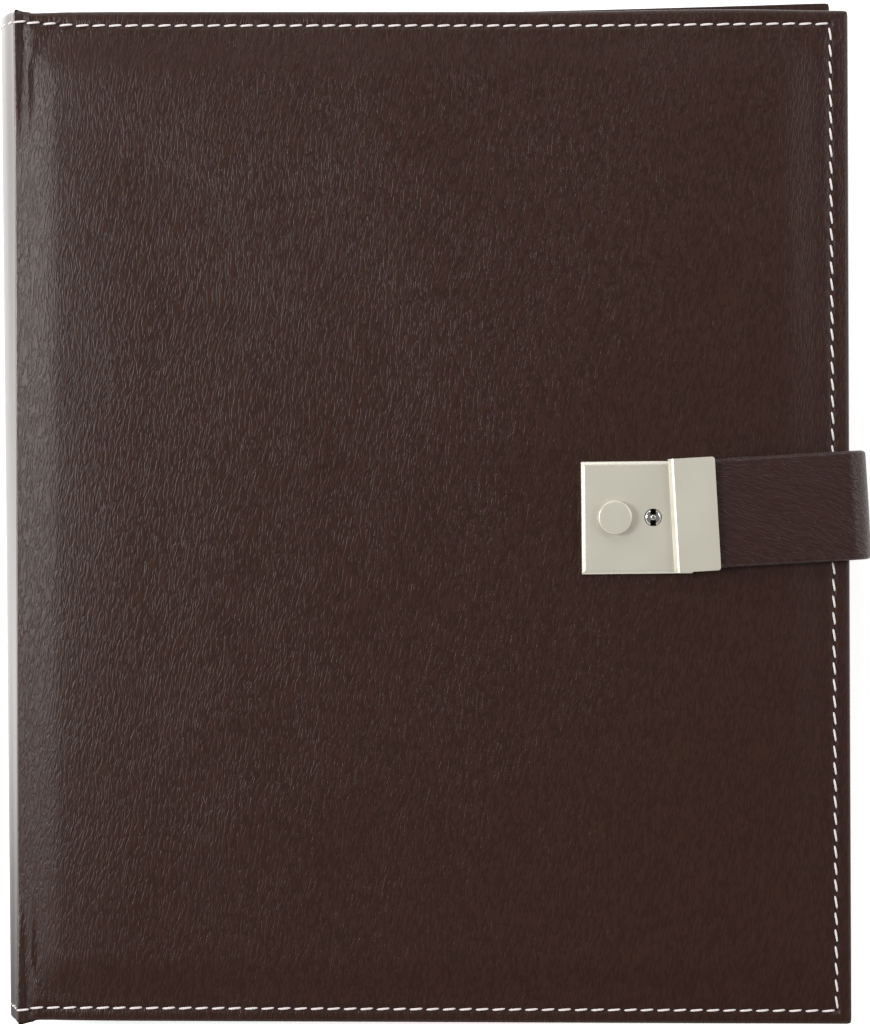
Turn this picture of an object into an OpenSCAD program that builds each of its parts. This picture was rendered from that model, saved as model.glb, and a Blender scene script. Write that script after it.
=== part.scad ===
// Document portfolio: padded leathercloth covers, round spine, strap with a locking hasp, rings inside.
// Millimetres. X runs from spine to fore-edge, Y from tail to head, Z up from the rear cover's outer face.

/* [Covers] */
// width of the front cover panel
panel_w = 259.4; // [200:0.1:320]
// height of both cover panels
panel_h = 320; // [240:1:400]
// closed thickness from rear face to front face
closed_t = 36; // [30:0.5:60]
// skin thickness
skin_t = 0.9; // [0.6:0.1:1.2]
// padding under the raised field
foam_t = 2.2; // [1.6:0.1:4]
// cover board thickness
board_t = 2.2; // [1.6:0.1:3]
// lining thickness
lining_t = 0.7; // [0.4:0.1:1.2]
// step from the raised field down to the stitched margin
margin_drop = 1.2; // [0.8:0.1:2]
// margin along head, tail and fore-edge
margin_w = 6.5; // [5:0.5:12]
// margin along the hinge
hinge_margin = 2; // [1:0.5:5]
// width of the slope around the raised field
slope_w = 2; // [1:0.5:4]

/* [Spine and hinges] */
// how far the spine stands past the panels at head and tail
spine_over = 0.7; // [0:0.1:2]
// rise of the rounded spine
spine_rise = 4.6; // [2:0.1:8]
// spine board thickness
spine_board_t = 1.8; // [1:0.1:3]
// outer radius of the hinge groove's tube
groove_r = 1.4; // [1.2:0.1:2]
// wall of the hinge groove
groove_wall = 0.5; // [0.4:0.1:0.8]
// spine shoulder beside the groove
shoulder_w = 1.1; // [1:0.1:2]

/* [Lie of the rear cover] */
// how far the rear cover is turned under the front one, in degrees
rear_skew = 1.1; // [0:0.1:1.5]
// how far it is pushed towards the head
rear_shift = 2.2; // [0:0.1:4]
// overhang of the rear cover at the fore-edge
rear_over = 0.6; // [0:0.1:3]

/* [Stitching] */
// distance from one stitch to the next
stitch_pitch = 5.25; // [4:0.05:8]
// length of a stitch
stitch_len = 4.2; // [3:0.1:6]
// thread diameter
thread_d = 0.9; // [0.6:0.1:1.2]
// distance of the stitch line from the edge
stitch_in = 4.3; // [3:0.1:5]

/* [Strap] */
// width of the strap
strap_w = 34.5; // [20:0.5:50]
// thickness of the strap
strap_t = 2.8; // [2:0.1:3]
// how far the strap stands off the fore-edge
strap_off = 3.1; // [2.5:0.1:6]
// turn of the strap and hasp on the cover, in degrees
strap_tilt = 3.3; // [0:0.1:4]
// height of the strap's middle at the fore-edge
strap_y = 4; // [-20:0.5:20]
// length of the strap's root inside the rear cover
root_len = 24; // [15:1:40]

/* [Lock] */
// left edge of the lock plate to the fore-edge
lock_in = 85.1; // [80:0.1:120]
// width of the lock plate
plate_w = 34.8; // [34:0.1:35.2]
// height of the lock plate
plate_h = 35.4; // [33:0.1:50]
// thickness of the lock plate
plate_t = 3.2; // [3:0.1:4]
// sheet of the lock plate
plate_wall = 0.8; // [0.5:0.1:1]
// bevel of the lock plate
plate_bevel = 1; // [0.4:0.1:1.4]
// diameter of the press button
button_d = 10.6; // [8:0.1:12]
// height of the button over the plate
button_rise = 2.6; // [2.3:0.1:5]
// travel of the button and of the bolt
press = 2; // [1.9:0.05:2.1]
// button's middle from the plate's left edge
button_in = 10.4; // [9:0.1:11]
// diameter of the key plug
plug_d = 5.4; // [4:0.1:6]
// plug's middle from the plate's left edge
plug_in = 22.5; // [20:0.1:23]

/* [Hasp] */
// width of the hasp
hasp_w = 14.6; // [14:0.1:16]
// how far the hasp stands past the strap on each side
hasp_over = 0.65; // [0.65:0.05:3]
// sheet of the hasp
hasp_wall = 0.6; // [0.4:0.05:0.6]
// left edge of the hasp to the fore-edge
hasp_in = 57; // [56.5:0.1:57.5]
// hook spacing from the middle
hook_y = 10; // [7:0.5:12]

/* [Rings and pockets] */
// distance between rings
ring_pitch = 80; // [70:1:85]
// radius of a ring at the middle of its wire
ring_r = 7.4; // [6.6:0.1:7.5]
// wire diameter
wire_d = 2.6; // [2:0.1:2.8]
// ring middle from the rear cover's hinge edge
ring_in = 18; // [16:0.5:30]
// length of the ring hull
hull_len = 286; // [270:1:300]
// width of the ring hull
hull_w = 22; // [20:0.5:26]
// height of the ring hull
hull_h = 6.5; // [6:0.1:7]
// sheet of the ring hull
hull_wall = 0.9; // [0.6:0.1:1.2]
// height of the ring middle over the lining
ring_lift = 11.8; // [11.5:0.1:12.5]
// mounting rivet from the end of the hull
rivet_in = 6; // [5:0.5:8]
// end of a blade from the end of the hull
blade_in = 14; // [12:0.5:20]
// how far a punched hole reaches past the ring, room for the ring to open
hole_out = 4.6; // [4:0.1:6]
// width of a pocket
pocket_w = 222; // [200:1:226]
// height of a pocket
pocket_h = 303; // [260:1:310]
// thickness of the pocket stack
stack_t = 4.4; // [2:0.2:5]
// thickness of the turning leaf
leaf_t = 0.6; // [0.4:0.1:1]

/* [Hidden] */
$fn = 64;
fit = 0.02;
// clearance of pieces set into each other, and of pieces that move
ease = 0.05;
gap = 0.3;
rivet_d = 3;
rivet_head_d = 6;
rivet_hole_d = rivet_d + 2 * ease;
pin_d = 2.5;
pin_hole_d = pin_d + 2 * ease;
pin_head_d = 4;
field_root = 0.5;
stitch_sink = 0.55;
stitch_ease = 0.25;
cam_reach = 2.7;
lock_rivet_in = 4;
spine_h = panel_h + 2 * spine_over;
hasp_h = strap_w + 2 * hasp_over;
cover_t = skin_t + foam_t + board_t + lining_t;
fx0 = -panel_w / 2;
fx1 = panel_w / 2;
foam_z = -skin_t - foam_t;
board_z = foam_z - board_t;
groove_x = fx0 - groove_r - fit;
shoulder_x = groove_x - groove_r - shoulder_w;
front_axis_z = closed_t - margin_drop;
rear_axis_z = margin_drop;
// half height of the spine's outer arc, and its radius and middle
spine_half = closed_t / 2 - 0.4;
spine_r = (spine_half * spine_half + spine_rise * spine_rise) / (2 * spine_rise);
spine_cx = shoulder_x - spine_rise + spine_r;
spine_cz = closed_t / 2;
// the rear panel keeps clear of the groove at its nearest corner
rx0 = groove_x + groove_r + 0.1 + panel_h / 2 * sin(rear_skew);
rx1 = fx1 + rear_over;
stitch_z = -margin_drop - stitch_sink;
// strap, in its own turned frame: x is 0 in the middle of the upright part
strap_x = fx1 + strap_off + strap_t / 2;
strap_z0 = closed_t + 1.4;
bend_in = 3.5;
bend_x = -strap_t / 2 - bend_in;
bend_z = strap_z0 - bend_in;
root_in = 1.5;
root_x = -strap_t / 2 - root_in;
root_z0 = skin_t + margin_drop + 0.1;
root_z = root_z0 + strap_t + root_in;
root_rivet_y = 10;
swing_z = closed_t / 2;
swing_r = 8;
// lock
lx0 = fx1 - lock_in;
lx1 = lx0 + plate_w;
lock_z = closed_t;
case_x0 = lx0 + 1.4;
case_x1 = lx1 - 0.2;
case_h = plate_h / 2 - 1.7;
case_z0 = closed_t - cover_t + lining_t + fit;
case_wall = 0.8;
case_floor = case_z0 + case_wall;
button_x = lx0 + button_in;
plug_x = lx0 + plug_in;
bolt_z0 = case_floor + 1.6;
bolt_t = 1.2;
bolt_z1 = bolt_z0 + bolt_t;
tip_z = case_floor + press + 0.4;
// hasp, in the strap's frame
hasp_x0 = (fx1 - hasp_in - strap_x) / cos(strap_tilt);
hasp_x1 = hasp_x0 + hasp_w;
hook_x = hasp_x0 + 1.7;
hook_t = 1.2;
hook_w = 5.2;
// sheet of the hasp at its lip and top, its bevels, and the back plate
hasp_lip = 0.8;
hasp_top = 0.9;
hasp_bevel = 1.4;
edge_bevel = 0.7;
back_t = 0.8;
hasp_lift = 0.5;
// the hooks sit on the turned hasp, so each nose of the bolt is cut to its own hook
nose_y = strap_y + hook_x * sin(strap_tilt);
nose_w = 1.1;
function nose_tip(s) = strap_x + hook_x * cos(strap_tilt) - s * hook_y * sin(strap_tilt) + 0.9;
riser_x = (lx1 - strap_x + hasp_h / 2 * sin(strap_tilt)) / cos(strap_tilt) + 0.7;
hasp_z1 = lock_z + plate_t + 3;
hasp_zb = lock_z + plate_t + gap;
// rings, in the rear cover's own frame
inner_z = cover_t;
ring_x = rx0 + ring_in;
hull_z1 = inner_z + hull_h;
blade_z = inner_z + 1.4;
blade_t = 0.9;
blade_x = hull_w / 2 - hull_wall - gap - 0.5;
ring_z = inner_z + ring_lift;
foot_a = 40;
foot_x = ring_r * cos(foot_a);
foot_z = ring_z - ring_r * sin(foot_a);
rings = [-1.5, -0.5, 0.5, 1.5];
stack_z = hull_z1 + 0.5;
stack_low = inner_z + 1;
pocket_x0 = -4;
// the leaf stops right of the ring middle, so that its edge clears the stack when it turns
leaf_x0 = 1.2;
leaf_gap = 0.4;
// piece to draw

// box from two corners
module box(a, b) {
    translate(a) cube(b - a);
}

// rod along Y
module rod_y(r, y0, y1, x, z) {
    translate([x, y1, z]) rotate([90, 0, 0]) cylinder(r = r, h = y1 - y0);
}

// raised field with sloped sides, drawn from its foot up to its top
module field(x0, x1, h, z0, z1, s) {
    intersection() {
        translate([0, h / 2, 0]) rotate([90, 0, 0]) linear_extrude(height = h)
            polygon([[x0, z0], [x1, z0], [x1 - s, z1], [x0 + s, z1]]);
        translate([x0, 0, 0]) rotate([90, 0, 90]) linear_extrude(height = x1 - x0)
            polygon([[-h / 2, z0], [h / 2, z0], [h / 2 - s, z1], [-h / 2 + s, z1]]);
    }
}

// cover frame: outer face up, field top at z 0
module front_frame() {
    translate([0, 0, closed_t]) children();
}

// the rear cover lies outer face down, turned and pushed a little under the front one
module rear_turn() {
    translate([groove_x, rear_shift, 0]) rotate([0, 0, rear_skew]) translate([-groove_x, 0, 0]) children();
}

module rear_frame() {
    rear_turn() rotate([180, 0, 0]) children();
}

// frame of the strap and hasp
module strap_frame() {
    translate([strap_x, strap_y, 0]) rotate([0, 0, strap_tilt]) children();
}

// layers of a cover panel, outer face up
module panel_skin(x0, x1) {
    difference() {
        union() {
            box([x0, -panel_h / 2, -cover_t], [x1, panel_h / 2, -margin_drop]);
            field(x0 + hinge_margin, x1 - margin_w, panel_h - 2 * margin_w, -margin_drop - fit, 0, slope_w);
        }
        panel_core(x0, x1, -cover_t - 1, -margin_drop - skin_t, 0);
        foam_field(x0, x1, 0);
        stitch_channel(x0, x1);
    }
}

module panel_core(x0, x1, z0, z1, clear) {
    e = skin_t + clear;
    box([x0 + e, -panel_h / 2 + e, z0], [x1 - e, panel_h / 2 - e, z1]);
}

// raised part of the padding, sunk a little into its flat part
module foam_field(x0, x1, clear) {
    e = skin_t + clear;
    translate([0, 0, -clear]) field(x0 + hinge_margin + e, x1 - margin_w - e,
        panel_h - 2 * margin_w - 2 * e, -margin_drop - skin_t - field_root, -skin_t, slope_w);
}

module panel_padding(x0, x1) {
    panel_core(x0, x1, foam_z, -margin_drop - skin_t - fit, fit);
    foam_field(x0, x1, fit);
}

module stitch_channel(x0, x1) {
    w = thread_d / 2 + stitch_ease;
    yt = panel_h / 2 - stitch_in;
    xr = x1 - stitch_in;
    box([x0 - 1, yt - w, stitch_z], [xr + w, yt + w, 1]);
    box([x0 - 1, -yt - w, stitch_z], [xr + w, -yt + w, 1]);
    box([xr - w, -yt, stitch_z], [xr + w, yt, 1]);
}

module panel_stitches(x0, x1) {
    yt = panel_h / 2 - stitch_in;
    xr = x1 - stitch_in;
    z = stitch_z + thread_d / 2 + fit;
    nx = floor((xr - x0) / stitch_pitch);
    ny = floor((2 * yt) / stitch_pitch);
    for (s = [-1, 1], i = [0 : nx - 1])
        translate([xr - (i + 0.5) * stitch_pitch - stitch_len / 2, s * yt, z])
            rotate([0, 90, 0]) cylinder(d = thread_d, h = stitch_len, $fn = 16);
    for (i = [0 : ny - 1])
        translate([xr, (i + 0.5 - ny / 2) * stitch_pitch + stitch_len / 2, z])
            rotate([90, 0, 0]) cylinder(d = thread_d, h = stitch_len, $fn = 16);
}

// space that the strap's root takes inside the rear cover
module root_space(c) {
    strap_frame()
        box([root_x - root_len - c, -strap_w / 2 - c, root_z0 - c],
            [5, strap_w / 2 + c, root_z0 + strap_t + c]);
}

module root_rivet_pair() {
    for (s = [-1, 1]) translate([root_x - 2 * root_len / 3, s * root_rivet_y, 0]) children();
}

module root_rivet_spots() {
    strap_frame() root_rivet_pair() children();
}

module ring_rivet_spots() {
    rear_turn() for (s = [-1, 1]) translate([ring_x, s * (hull_len / 2 - rivet_in), 0]) children();
}

module rear_skin() {
    color("#3b2a26") difference() {
        rear_frame() panel_skin(rx0, rx1);
        root_space(ease);
    }
}

module rear_padding() {
    color("#d8d4cc") difference() {
        rear_frame() panel_padding(rx0, rx1);
        root_space(ease);
        root_rivet_spots() cylinder(d = rivet_hole_d, h = cover_t);
    }
}

module rear_board() {
    color("#8f8271") difference() {
        rear_frame() panel_core(rx0, rx1, board_z, foam_z - fit, fit);
        root_space(ease);
        root_rivet_spots() cylinder(d = rivet_hole_d, h = cover_t);
        ring_rivet_spots() translate([0, 0, cover_t - lining_t - 1.6]) cylinder(d = rivet_hole_d, h = 4);
    }
}

module rear_lining() {
    color("#2c2220") difference() {
        rear_frame() panel_core(rx0, rx1, -cover_t, board_z - fit, fit);
        root_rivet_spots() cylinder(d = rivet_hole_d, h = cover_t + 1);
        ring_rivet_spots() cylinder(d = rivet_hole_d, h = cover_t + 1);
    }
}

module rear_stitching() {
    color("#f4efec") rear_frame() panel_stitches(rx0, rx1);
}

// strap: root in the rear cover, then the upright part up to the swing joint's soft middle
module strap_root() {
    color("#37261f") strap_frame() difference() {
        union() {
            box([root_x - root_len, -strap_w / 2, root_z0], [root_x, strap_w / 2, root_z0 + strap_t]);
            intersection() {
                difference() {
                    rod_y(root_in + strap_t, -strap_w / 2, strap_w / 2, root_x, root_z);
                    rod_y(root_in, -strap_w, strap_w, root_x, root_z);
                }
                box([root_x, -strap_w, 0], [20, strap_w, root_z]);
            }
            box([-strap_t / 2, -strap_w / 2, root_z], [strap_t / 2, strap_w / 2, swing_z - swing_r]);
        }
        root_rivet_pair() cylinder(d = rivet_hole_d, h = cover_t);
    }
}

module strap_rivets() {
    color("#b9b4a6") root_rivet_spots() {
        translate([0, 0, root_z0]) cylinder(d = rivet_d, h = cover_t - root_z0 + 0.1);
        translate([0, 0, cover_t + fit]) cylinder(d = rivet_head_d, h = 0.7);
    }
}

// soft middle of the strap, with a round core on the swing axis
module strap_bend() {
    color("#37261f") strap_frame() {
        box([-strap_t / 2, -strap_w / 2, swing_z - swing_r + fit],
            [strap_t / 2, strap_w / 2, swing_z - strap_t / 2]);
        box([-strap_t / 2, -strap_w / 2, swing_z + strap_t / 2],
            [strap_t / 2, strap_w / 2, swing_z + swing_r - fit]);
        rod_y(strap_t / 2 + 0.02, -strap_w / 2, strap_w / 2, 0, swing_z);
    }
}

module strap_band() {
    color("#37261f") strap_frame() difference() {
        union() {
            box([-strap_t / 2, -strap_w / 2, swing_z + swing_r], [strap_t / 2, strap_w / 2, bend_z]);
            intersection() {
                difference() {
                    rod_y(bend_in + strap_t, -strap_w / 2, strap_w / 2, bend_x, bend_z);
                    rod_y(bend_in, -strap_w, strap_w, bend_x, bend_z);
                }
                box([bend_x, -strap_w, bend_z], [20, strap_w, bend_z + 20]);
            }
            box([riser_x + 1, -strap_w / 2, strap_z0], [bend_x, strap_w / 2, strap_z0 + strap_t]);
        }
        hasp_rivet_spots() translate([0, 0, closed_t]) cylinder(d = pin_hole_d, h = 9);
    }
}

module hasp_rivet_spots() {
    for (s = [-1, 1]) translate([(riser_x + 1 + hasp_x1) / 2, s * strap_w / 4, 0]) children();
}

module hasp_shell() {
    hw = hasp_h / 2 - hasp_wall;
    color("#c4bea9") strap_frame() difference() {
        union() {
            box([hasp_x0, -hasp_h / 2, hasp_zb], [hasp_x1, hasp_h / 2, hasp_z1]);
            box([riser_x, -hasp_h / 2, closed_t + hasp_lift], [hasp_x1, hasp_h / 2, hasp_z1]);
        }
        box([hasp_x0 + hasp_lip, -hw, hasp_zb - 1], [riser_x + back_t, hw, hasp_z1 - hasp_top]);
        box([riser_x - 1, -hw, closed_t], [hasp_x1 + 1, hw, hasp_z1 - hasp_top]);
        // bright lip on the left, small bevels on the other edges
        translate([hasp_x0, 0, hasp_z1]) rotate([0, 45, 0])
            cube([hasp_bevel, 2 * hasp_h, hasp_bevel], center = true);
        translate([hasp_x1, 0, hasp_z1]) rotate([0, 45, 0])
            cube([edge_bevel, 2 * hasp_h, edge_bevel], center = true);
        for (s = [-1, 1]) translate([0, s * hasp_h / 2, hasp_z1]) rotate([45, 0, 0])
            cube([4 * hasp_h, edge_bevel, edge_bevel], center = true);
    }
}

// back plate of the hasp: over the lock plate, then down and under the strap's end, with two hooks
module hasp_back() {
    hw = hasp_h / 2 - hasp_wall - ease;
    color("#b9b4a6") strap_frame() difference() {
        union() {
            box([hasp_x0 + hasp_lip + ease, -hw, hasp_zb], [riser_x + 0.1 + back_t, hw, hasp_zb + back_t]);
            box([riser_x + 0.1, -hw, closed_t + hasp_lift], [riser_x + 0.1 + back_t, hw, hasp_zb + back_t]);
            box([riser_x + 0.1, -hw, closed_t + hasp_lift], [hasp_x1 - gap, hw, strap_z0 - 0.1]);
            for (s = [-1, 1]) hook(s);
        }
        hasp_rivet_spots() translate([0, 0, closed_t]) cylinder(d = pin_hole_d, h = 9);
    }
}

module hook(s) {
    difference() {
        box([hook_x - hook_t / 2, s * hook_y - hook_w / 2, case_floor + 0.5],
            [hook_x + hook_t / 2, s * hook_y + hook_w / 2, hasp_zb + back_t / 2]);
        box([hook_x - 5, s * hook_y - nose_w - 0.4, bolt_z0 - 0.4],
            [hook_x + 5, s * hook_y + nose_w + 0.4, bolt_z1 + 0.4]);
    }
}

module hasp_rivets() {
    color("#b9b4a6") strap_frame() hasp_rivet_spots() {
        translate([0, 0, closed_t + hasp_lift])
            cylinder(d = pin_d, h = hasp_z1 - 1.2 - closed_t - hasp_lift);
        translate([0, 0, strap_z0 + strap_t + fit]) cylinder(d = pin_head_d, h = 0.5);
    }
}

// spine layers, each a slice of a tube along Y
module spine_layer(r0, r1, z_half, h) {
    intersection() {
        difference() {
            rod_y(r1, -h / 2, h / 2, spine_cx, spine_cz);
            rod_y(r0, -h, h, spine_cx, spine_cz);
        }
        box([spine_cx - spine_r - 1, -h, spine_cz - z_half], [groove_x + 10, h, spine_cz + z_half]);
    }
}

module spine_skin() {
    color("#3b2a26") difference() {
        spine_layer(spine_r - skin_t, spine_r, spine_half, spine_h);
        rod_y(groove_r + 0.05, -spine_h, spine_h, groove_x, front_axis_z);
        rod_y(groove_r + 0.05, -spine_h, spine_h, groove_x, rear_axis_z);
        for (s = [-1, 1]) spine_channel(s);
    }
}

module spine_channel(s) {
    y = s * (panel_h / 2 - stitch_in);
    w = thread_d / 2 + stitch_ease;
    difference() {
        rod_y(spine_r + 1, y - w, y + w, spine_cx, spine_cz);
        rod_y(spine_r - stitch_sink, y - 2 * w, y + 2 * w, spine_cx, spine_cz);
    }
}

module spine_board() {
    r = spine_r - skin_t - fit;
    color("#8f8271") spine_layer(r - spine_board_t, r, spine_half - 3.6, spine_h - 2);
}

module spine_lining() {
    r = spine_r - skin_t - 2 * fit - spine_board_t;
    color("#2c2220") spine_layer(r - lining_t, r, spine_half - 3.6, spine_h - 2);
}

module spine_stitching() {
    r = spine_r - stitch_sink + thread_d / 2 + 0.12;
    step = stitch_pitch / spine_r * 180 / PI;
    y = panel_h / 2 - stitch_in;
    color("#f4efec") for (s = [-1, 1], i = [-2 : 2])
        translate([spine_cx, s * y, spine_cz]) rotate([0, i * step, 0]) translate([-r, 0, -stitch_len / 2])
            cylinder(d = thread_d, h = stitch_len, $fn = 16);
}

// hinge grooves: half tubes of skin around the hinge axes
module front_hinge() {
    color("#33231f") intersection() {
        difference() {
            rod_y(groove_r, -panel_h / 2, panel_h / 2, groove_x, front_axis_z);
            rod_y(groove_r - groove_wall, -panel_h, panel_h, groove_x, front_axis_z);
        }
        box([groove_x - 5, -panel_h, front_axis_z - 5], [groove_x + 5, panel_h, front_axis_z]);
    }
}

module rear_hinge() {
    a = panel_h / 2;
    sk = sin(rear_skew);
    color("#33231f") difference() {
        union() {
            intersection() {
                difference() {
                    rod_y(groove_r, -a, a, groove_x, rear_axis_z);
                    rod_y(groove_r - groove_wall, -panel_h, panel_h, groove_x, rear_axis_z);
                }
                box([groove_x - 5, -panel_h, rear_axis_z], [groove_x + 5, panel_h, rear_axis_z + 5]);
            }
            // web out to the slanted edge of the rear cover
            translate([0, 0, rear_axis_z]) linear_extrude(height = groove_wall)
                polygon([[groove_x + groove_r - groove_wall, -a], [groove_x + groove_r - groove_wall, a],
                    [rx0 - (a - rear_shift) * sk - 0.03, a], [rx0 + (a + rear_shift) * sk - 0.03, -a]]);
        }
        rod_y(groove_r - groove_wall, -panel_h, panel_h, groove_x, rear_axis_z);
    }
}

// opening in the front cover that takes the lock case
module case_space(c) {
    box([case_x0 - c, -case_h - c, case_z0 - 5], [case_x1 + c, case_h + c, closed_t + 5]);
}

module front_skin() {
    color("#3b2a26") difference() {
        front_frame() panel_skin(fx0, fx1);
        case_space(ease);
    }
}

module front_padding() {
    color("#d8d4cc") difference() {
        front_frame() panel_padding(fx0, fx1);
        case_space(ease);
    }
}

module front_board() {
    color("#8f8271") difference() {
        front_frame() panel_core(fx0, fx1, board_z, foam_z - fit, fit);
        case_space(ease);
    }
}

module front_lining() {
    color("#2c2220") difference() {
        front_frame() panel_core(fx0, fx1, -cover_t, board_z - fit, fit);
        lock_rivet_spots() cylinder(d = rivet_hole_d, h = closed_t);
    }
}

module front_stitching() {
    color("#f4efec") front_frame() panel_stitches(fx0, fx1);
}

module lock_rivet_spots() {
    for (x = [case_x0 + lock_rivet_in, case_x1 - 2.5 * lock_rivet_in], s = [-1, 1])
        translate([x, s * (case_h - 0.8 * lock_rivet_in), 0]) children();
}

// lock plate: hollow, bevelled on three sides, with holes for button, plug and hooks
module lock_plate() {
    z1 = lock_z + plate_t;
    color("#bfbcac") difference() {
        box([lx0, -plate_h / 2, lock_z + fit], [lx1, plate_h / 2, z1]);
        box([lx0 + plate_wall, -plate_h / 2 + plate_wall, lock_z - 1],
            [lx1 - plate_wall, plate_h / 2 - plate_wall, z1 - plate_wall]);
        translate([lx0, 0, z1]) rotate([0, 45, 0])
            cube([plate_bevel, 2 * plate_h, plate_bevel], center = true);
        for (s = [-1, 1]) translate([lx0, s * plate_h / 2, z1]) rotate([45, 0, 0])
            cube([200, plate_bevel, plate_bevel], center = true);
        translate([button_x, 0, lock_z]) cylinder(d = button_d + 2 * gap, h = 9);
        translate([plug_x, 0, lock_z]) cylinder(d = plug_d + 0.16, h = 9);
        for (s = [-1, 1]) hook_slot(s);
    }
}

module hook_slot(s) {
    strap_frame() box([hook_x - hook_t / 2 - 0.4, s * hook_y - hook_w / 2 - 0.5, lock_z],
        [hook_x + hook_t / 2 + 2.2, s * hook_y + hook_w / 2 + 0.5, lock_z + 9]);
}

module lock_case() {
    color("#a7a396") difference() {
        box([case_x0, -case_h, case_z0], [case_x1, case_h, closed_t]);
        box([case_x0 + case_wall, -case_h + case_wall, case_floor],
            [case_x1 - case_wall / 2, case_h - case_wall, closed_t + 1]);
        lock_rivet_spots() cylinder(d = pin_hole_d, h = closed_t);
    }
}

module lock_backing() {
    z1 = closed_t - cover_t - fit;
    color("#a7a396") difference() {
        box([case_x0 - 2, -case_h - 1, z1 - case_wall], [case_x1 + 2, case_h + 1, z1]);
        lock_rivet_spots() cylinder(d = pin_hole_d, h = closed_t);
    }
}

module lock_rivets() {
    z0 = closed_t - cover_t - case_wall - 2 * fit;
    color("#b9b4a6") lock_rivet_spots() {
        translate([0, 0, z0 - 0.6]) cylinder(d = 5, h = 0.6);
        translate([0, 0, z0 - 0.1]) cylinder(d = pin_d, h = case_floor - z0 + 0.2);
        translate([0, 0, case_floor + fit]) cylinder(d = pin_head_d, h = 0.5);
    }
}

// return springs on both sides of the button, standing on the case floor
module button_springs() {
    z1 = lock_z + plate_t - plate_wall - gap - 0.9;
    color("#9c9a94") for (s = [-1, 1]) translate([button_x, s * 9.5, case_floor + fit]) difference() {
        cylinder(d = 4.2, h = z1 - case_floor - 3 * fit);
        translate([0, 0, -1]) cylinder(d = 2.8, h = 20);
    }
}

// button with a cross bar under the plate and a wedge that draws the bolt back
module lock_button() {
    z1 = lock_z + plate_t - plate_wall - gap;
    z0 = z1 - 0.9;
    color("#c3beac") {
        translate([button_x, 0, z0]) cylinder(d = button_d, h = lock_z + plate_t + button_rise - z0);
        box([button_x - 3, -12.2, z0], [button_x + 3, 12.2, z1]);
        rotate([90, 0, 0]) translate([0, 0, -2]) linear_extrude(height = 4)
            polygon([[button_x - 2, z0 + 0.1], [button_x + 3.6, z0 + 0.1], [button_x + 3.6, tip_z],
                [button_x + 2.6, tip_z], [button_x - 2, tip_z + 4.6]]);
    }
}

function wedge_x(z) = button_x + 2.6 - (z - tip_z) - 0.45;

// bolt: a flat slide with a slanted window for the wedge and two noses for the hooks
module lock_bolt() {
    color("#c9c6bd") union() {
        difference() {
            box([case_x0 + case_wall + press + gap, -5, bolt_z0], [plug_x + 4, 5, bolt_z1]);
            rotate([90, 0, 0]) translate([0, 0, -2.5]) linear_extrude(height = 5)
                polygon([[wedge_x(bolt_z0 - 1), bolt_z0 - 1], [button_x + 6.6, bolt_z0 - 1],
                    [button_x + 6.6, bolt_z1 + 1], [wedge_x(bolt_z1 + 1), bolt_z1 + 1]]);
        }
        box([plug_x - 1, -hook_y - nose_w, bolt_z0], [plug_x + 4, hook_y + nose_w, bolt_z1]);
        for (s = [-1, 1]) box([plug_x + 3, s * hook_y - nose_w + nose_y, bolt_z0],
            [nose_tip(s), s * hook_y + nose_w + nose_y, bolt_z1]);
    }
}

module key_plug() {
    z1 = lock_z + plate_t + 0.3;
    zi = lock_z + plate_t - plate_wall - gap;
    color("#d9d9d6") union() {
        difference() {
            union() {
                translate([plug_x, 0, bolt_z1 + 0.5]) cylinder(d = plug_d, h = z1 - bolt_z1 - 0.5);
                translate([plug_x, 0, zi - 0.7]) cylinder(d = plug_d + 1.4, h = 0.7);
                box([plug_x - 1, 0, bolt_z1 + 0.5], [plug_x + 1, plug_d / 2 + cam_reach, bolt_z1 + 1.3]);
            }
            box([plug_x - 0.65, -plug_d / 2 + 0.3, z1 - 2.4], [plug_x + 0.65, plug_d / 2 - 0.3, z1 + 1]);
        }
        translate([plug_x, 0, z1 - 2.6]) cylinder(d = 1.7, h = 2.5);
    }
}

// ring mechanism on the rear lining
module ring_hull() {
    w = hull_w / 2;
    l = hull_len / 2;
    color("#c9c9c6") difference() {
        rear_turn() translate([ring_x, 0, 0]) difference() {
            box([-w, -l, inner_z + fit], [w, l, hull_z1]);
            box([-w + hull_wall, -l + 1, inner_z - 1], [w - hull_wall, l - 1, hull_z1 - hull_wall]);
            for (i = rings, s = [-1, 1]) translate([s * (foot_x + 0.7), i * ring_pitch, 0])
                box([-2.4, -2, hull_z1 - 2], [2.4, 2, hull_z1 + 1]);
        }
        ring_rivet_spots() cylinder(d = rivet_hole_d, h = hull_z1 + 1);
    }
}

module ring_rivets() {
    color("#b9b9b6") ring_rivet_spots() {
        translate([0, 0, cover_t - lining_t - 1.5])
            cylinder(d = rivet_d, h = hull_z1 - cover_t + lining_t + 1.6);
        translate([0, 0, hull_z1 + fit]) cylinder(d = rivet_head_d, h = 0.45);
    }
}

// one blade: a strip with a round edge that turns along the side of the hull
module blade(s) {
    l = hull_len / 2 - blade_in;
    rear_turn() translate([ring_x, 0, 0]) {
        rod_y(0.6, -l, l, s * blade_x, blade_z);
        a = s * blade_x;
        b = s * 0.25;
        box([min(a, b), -l, blade_z - blade_t / 2], [max(a, b), l, blade_z + blade_t / 2]);
    }
}

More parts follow.
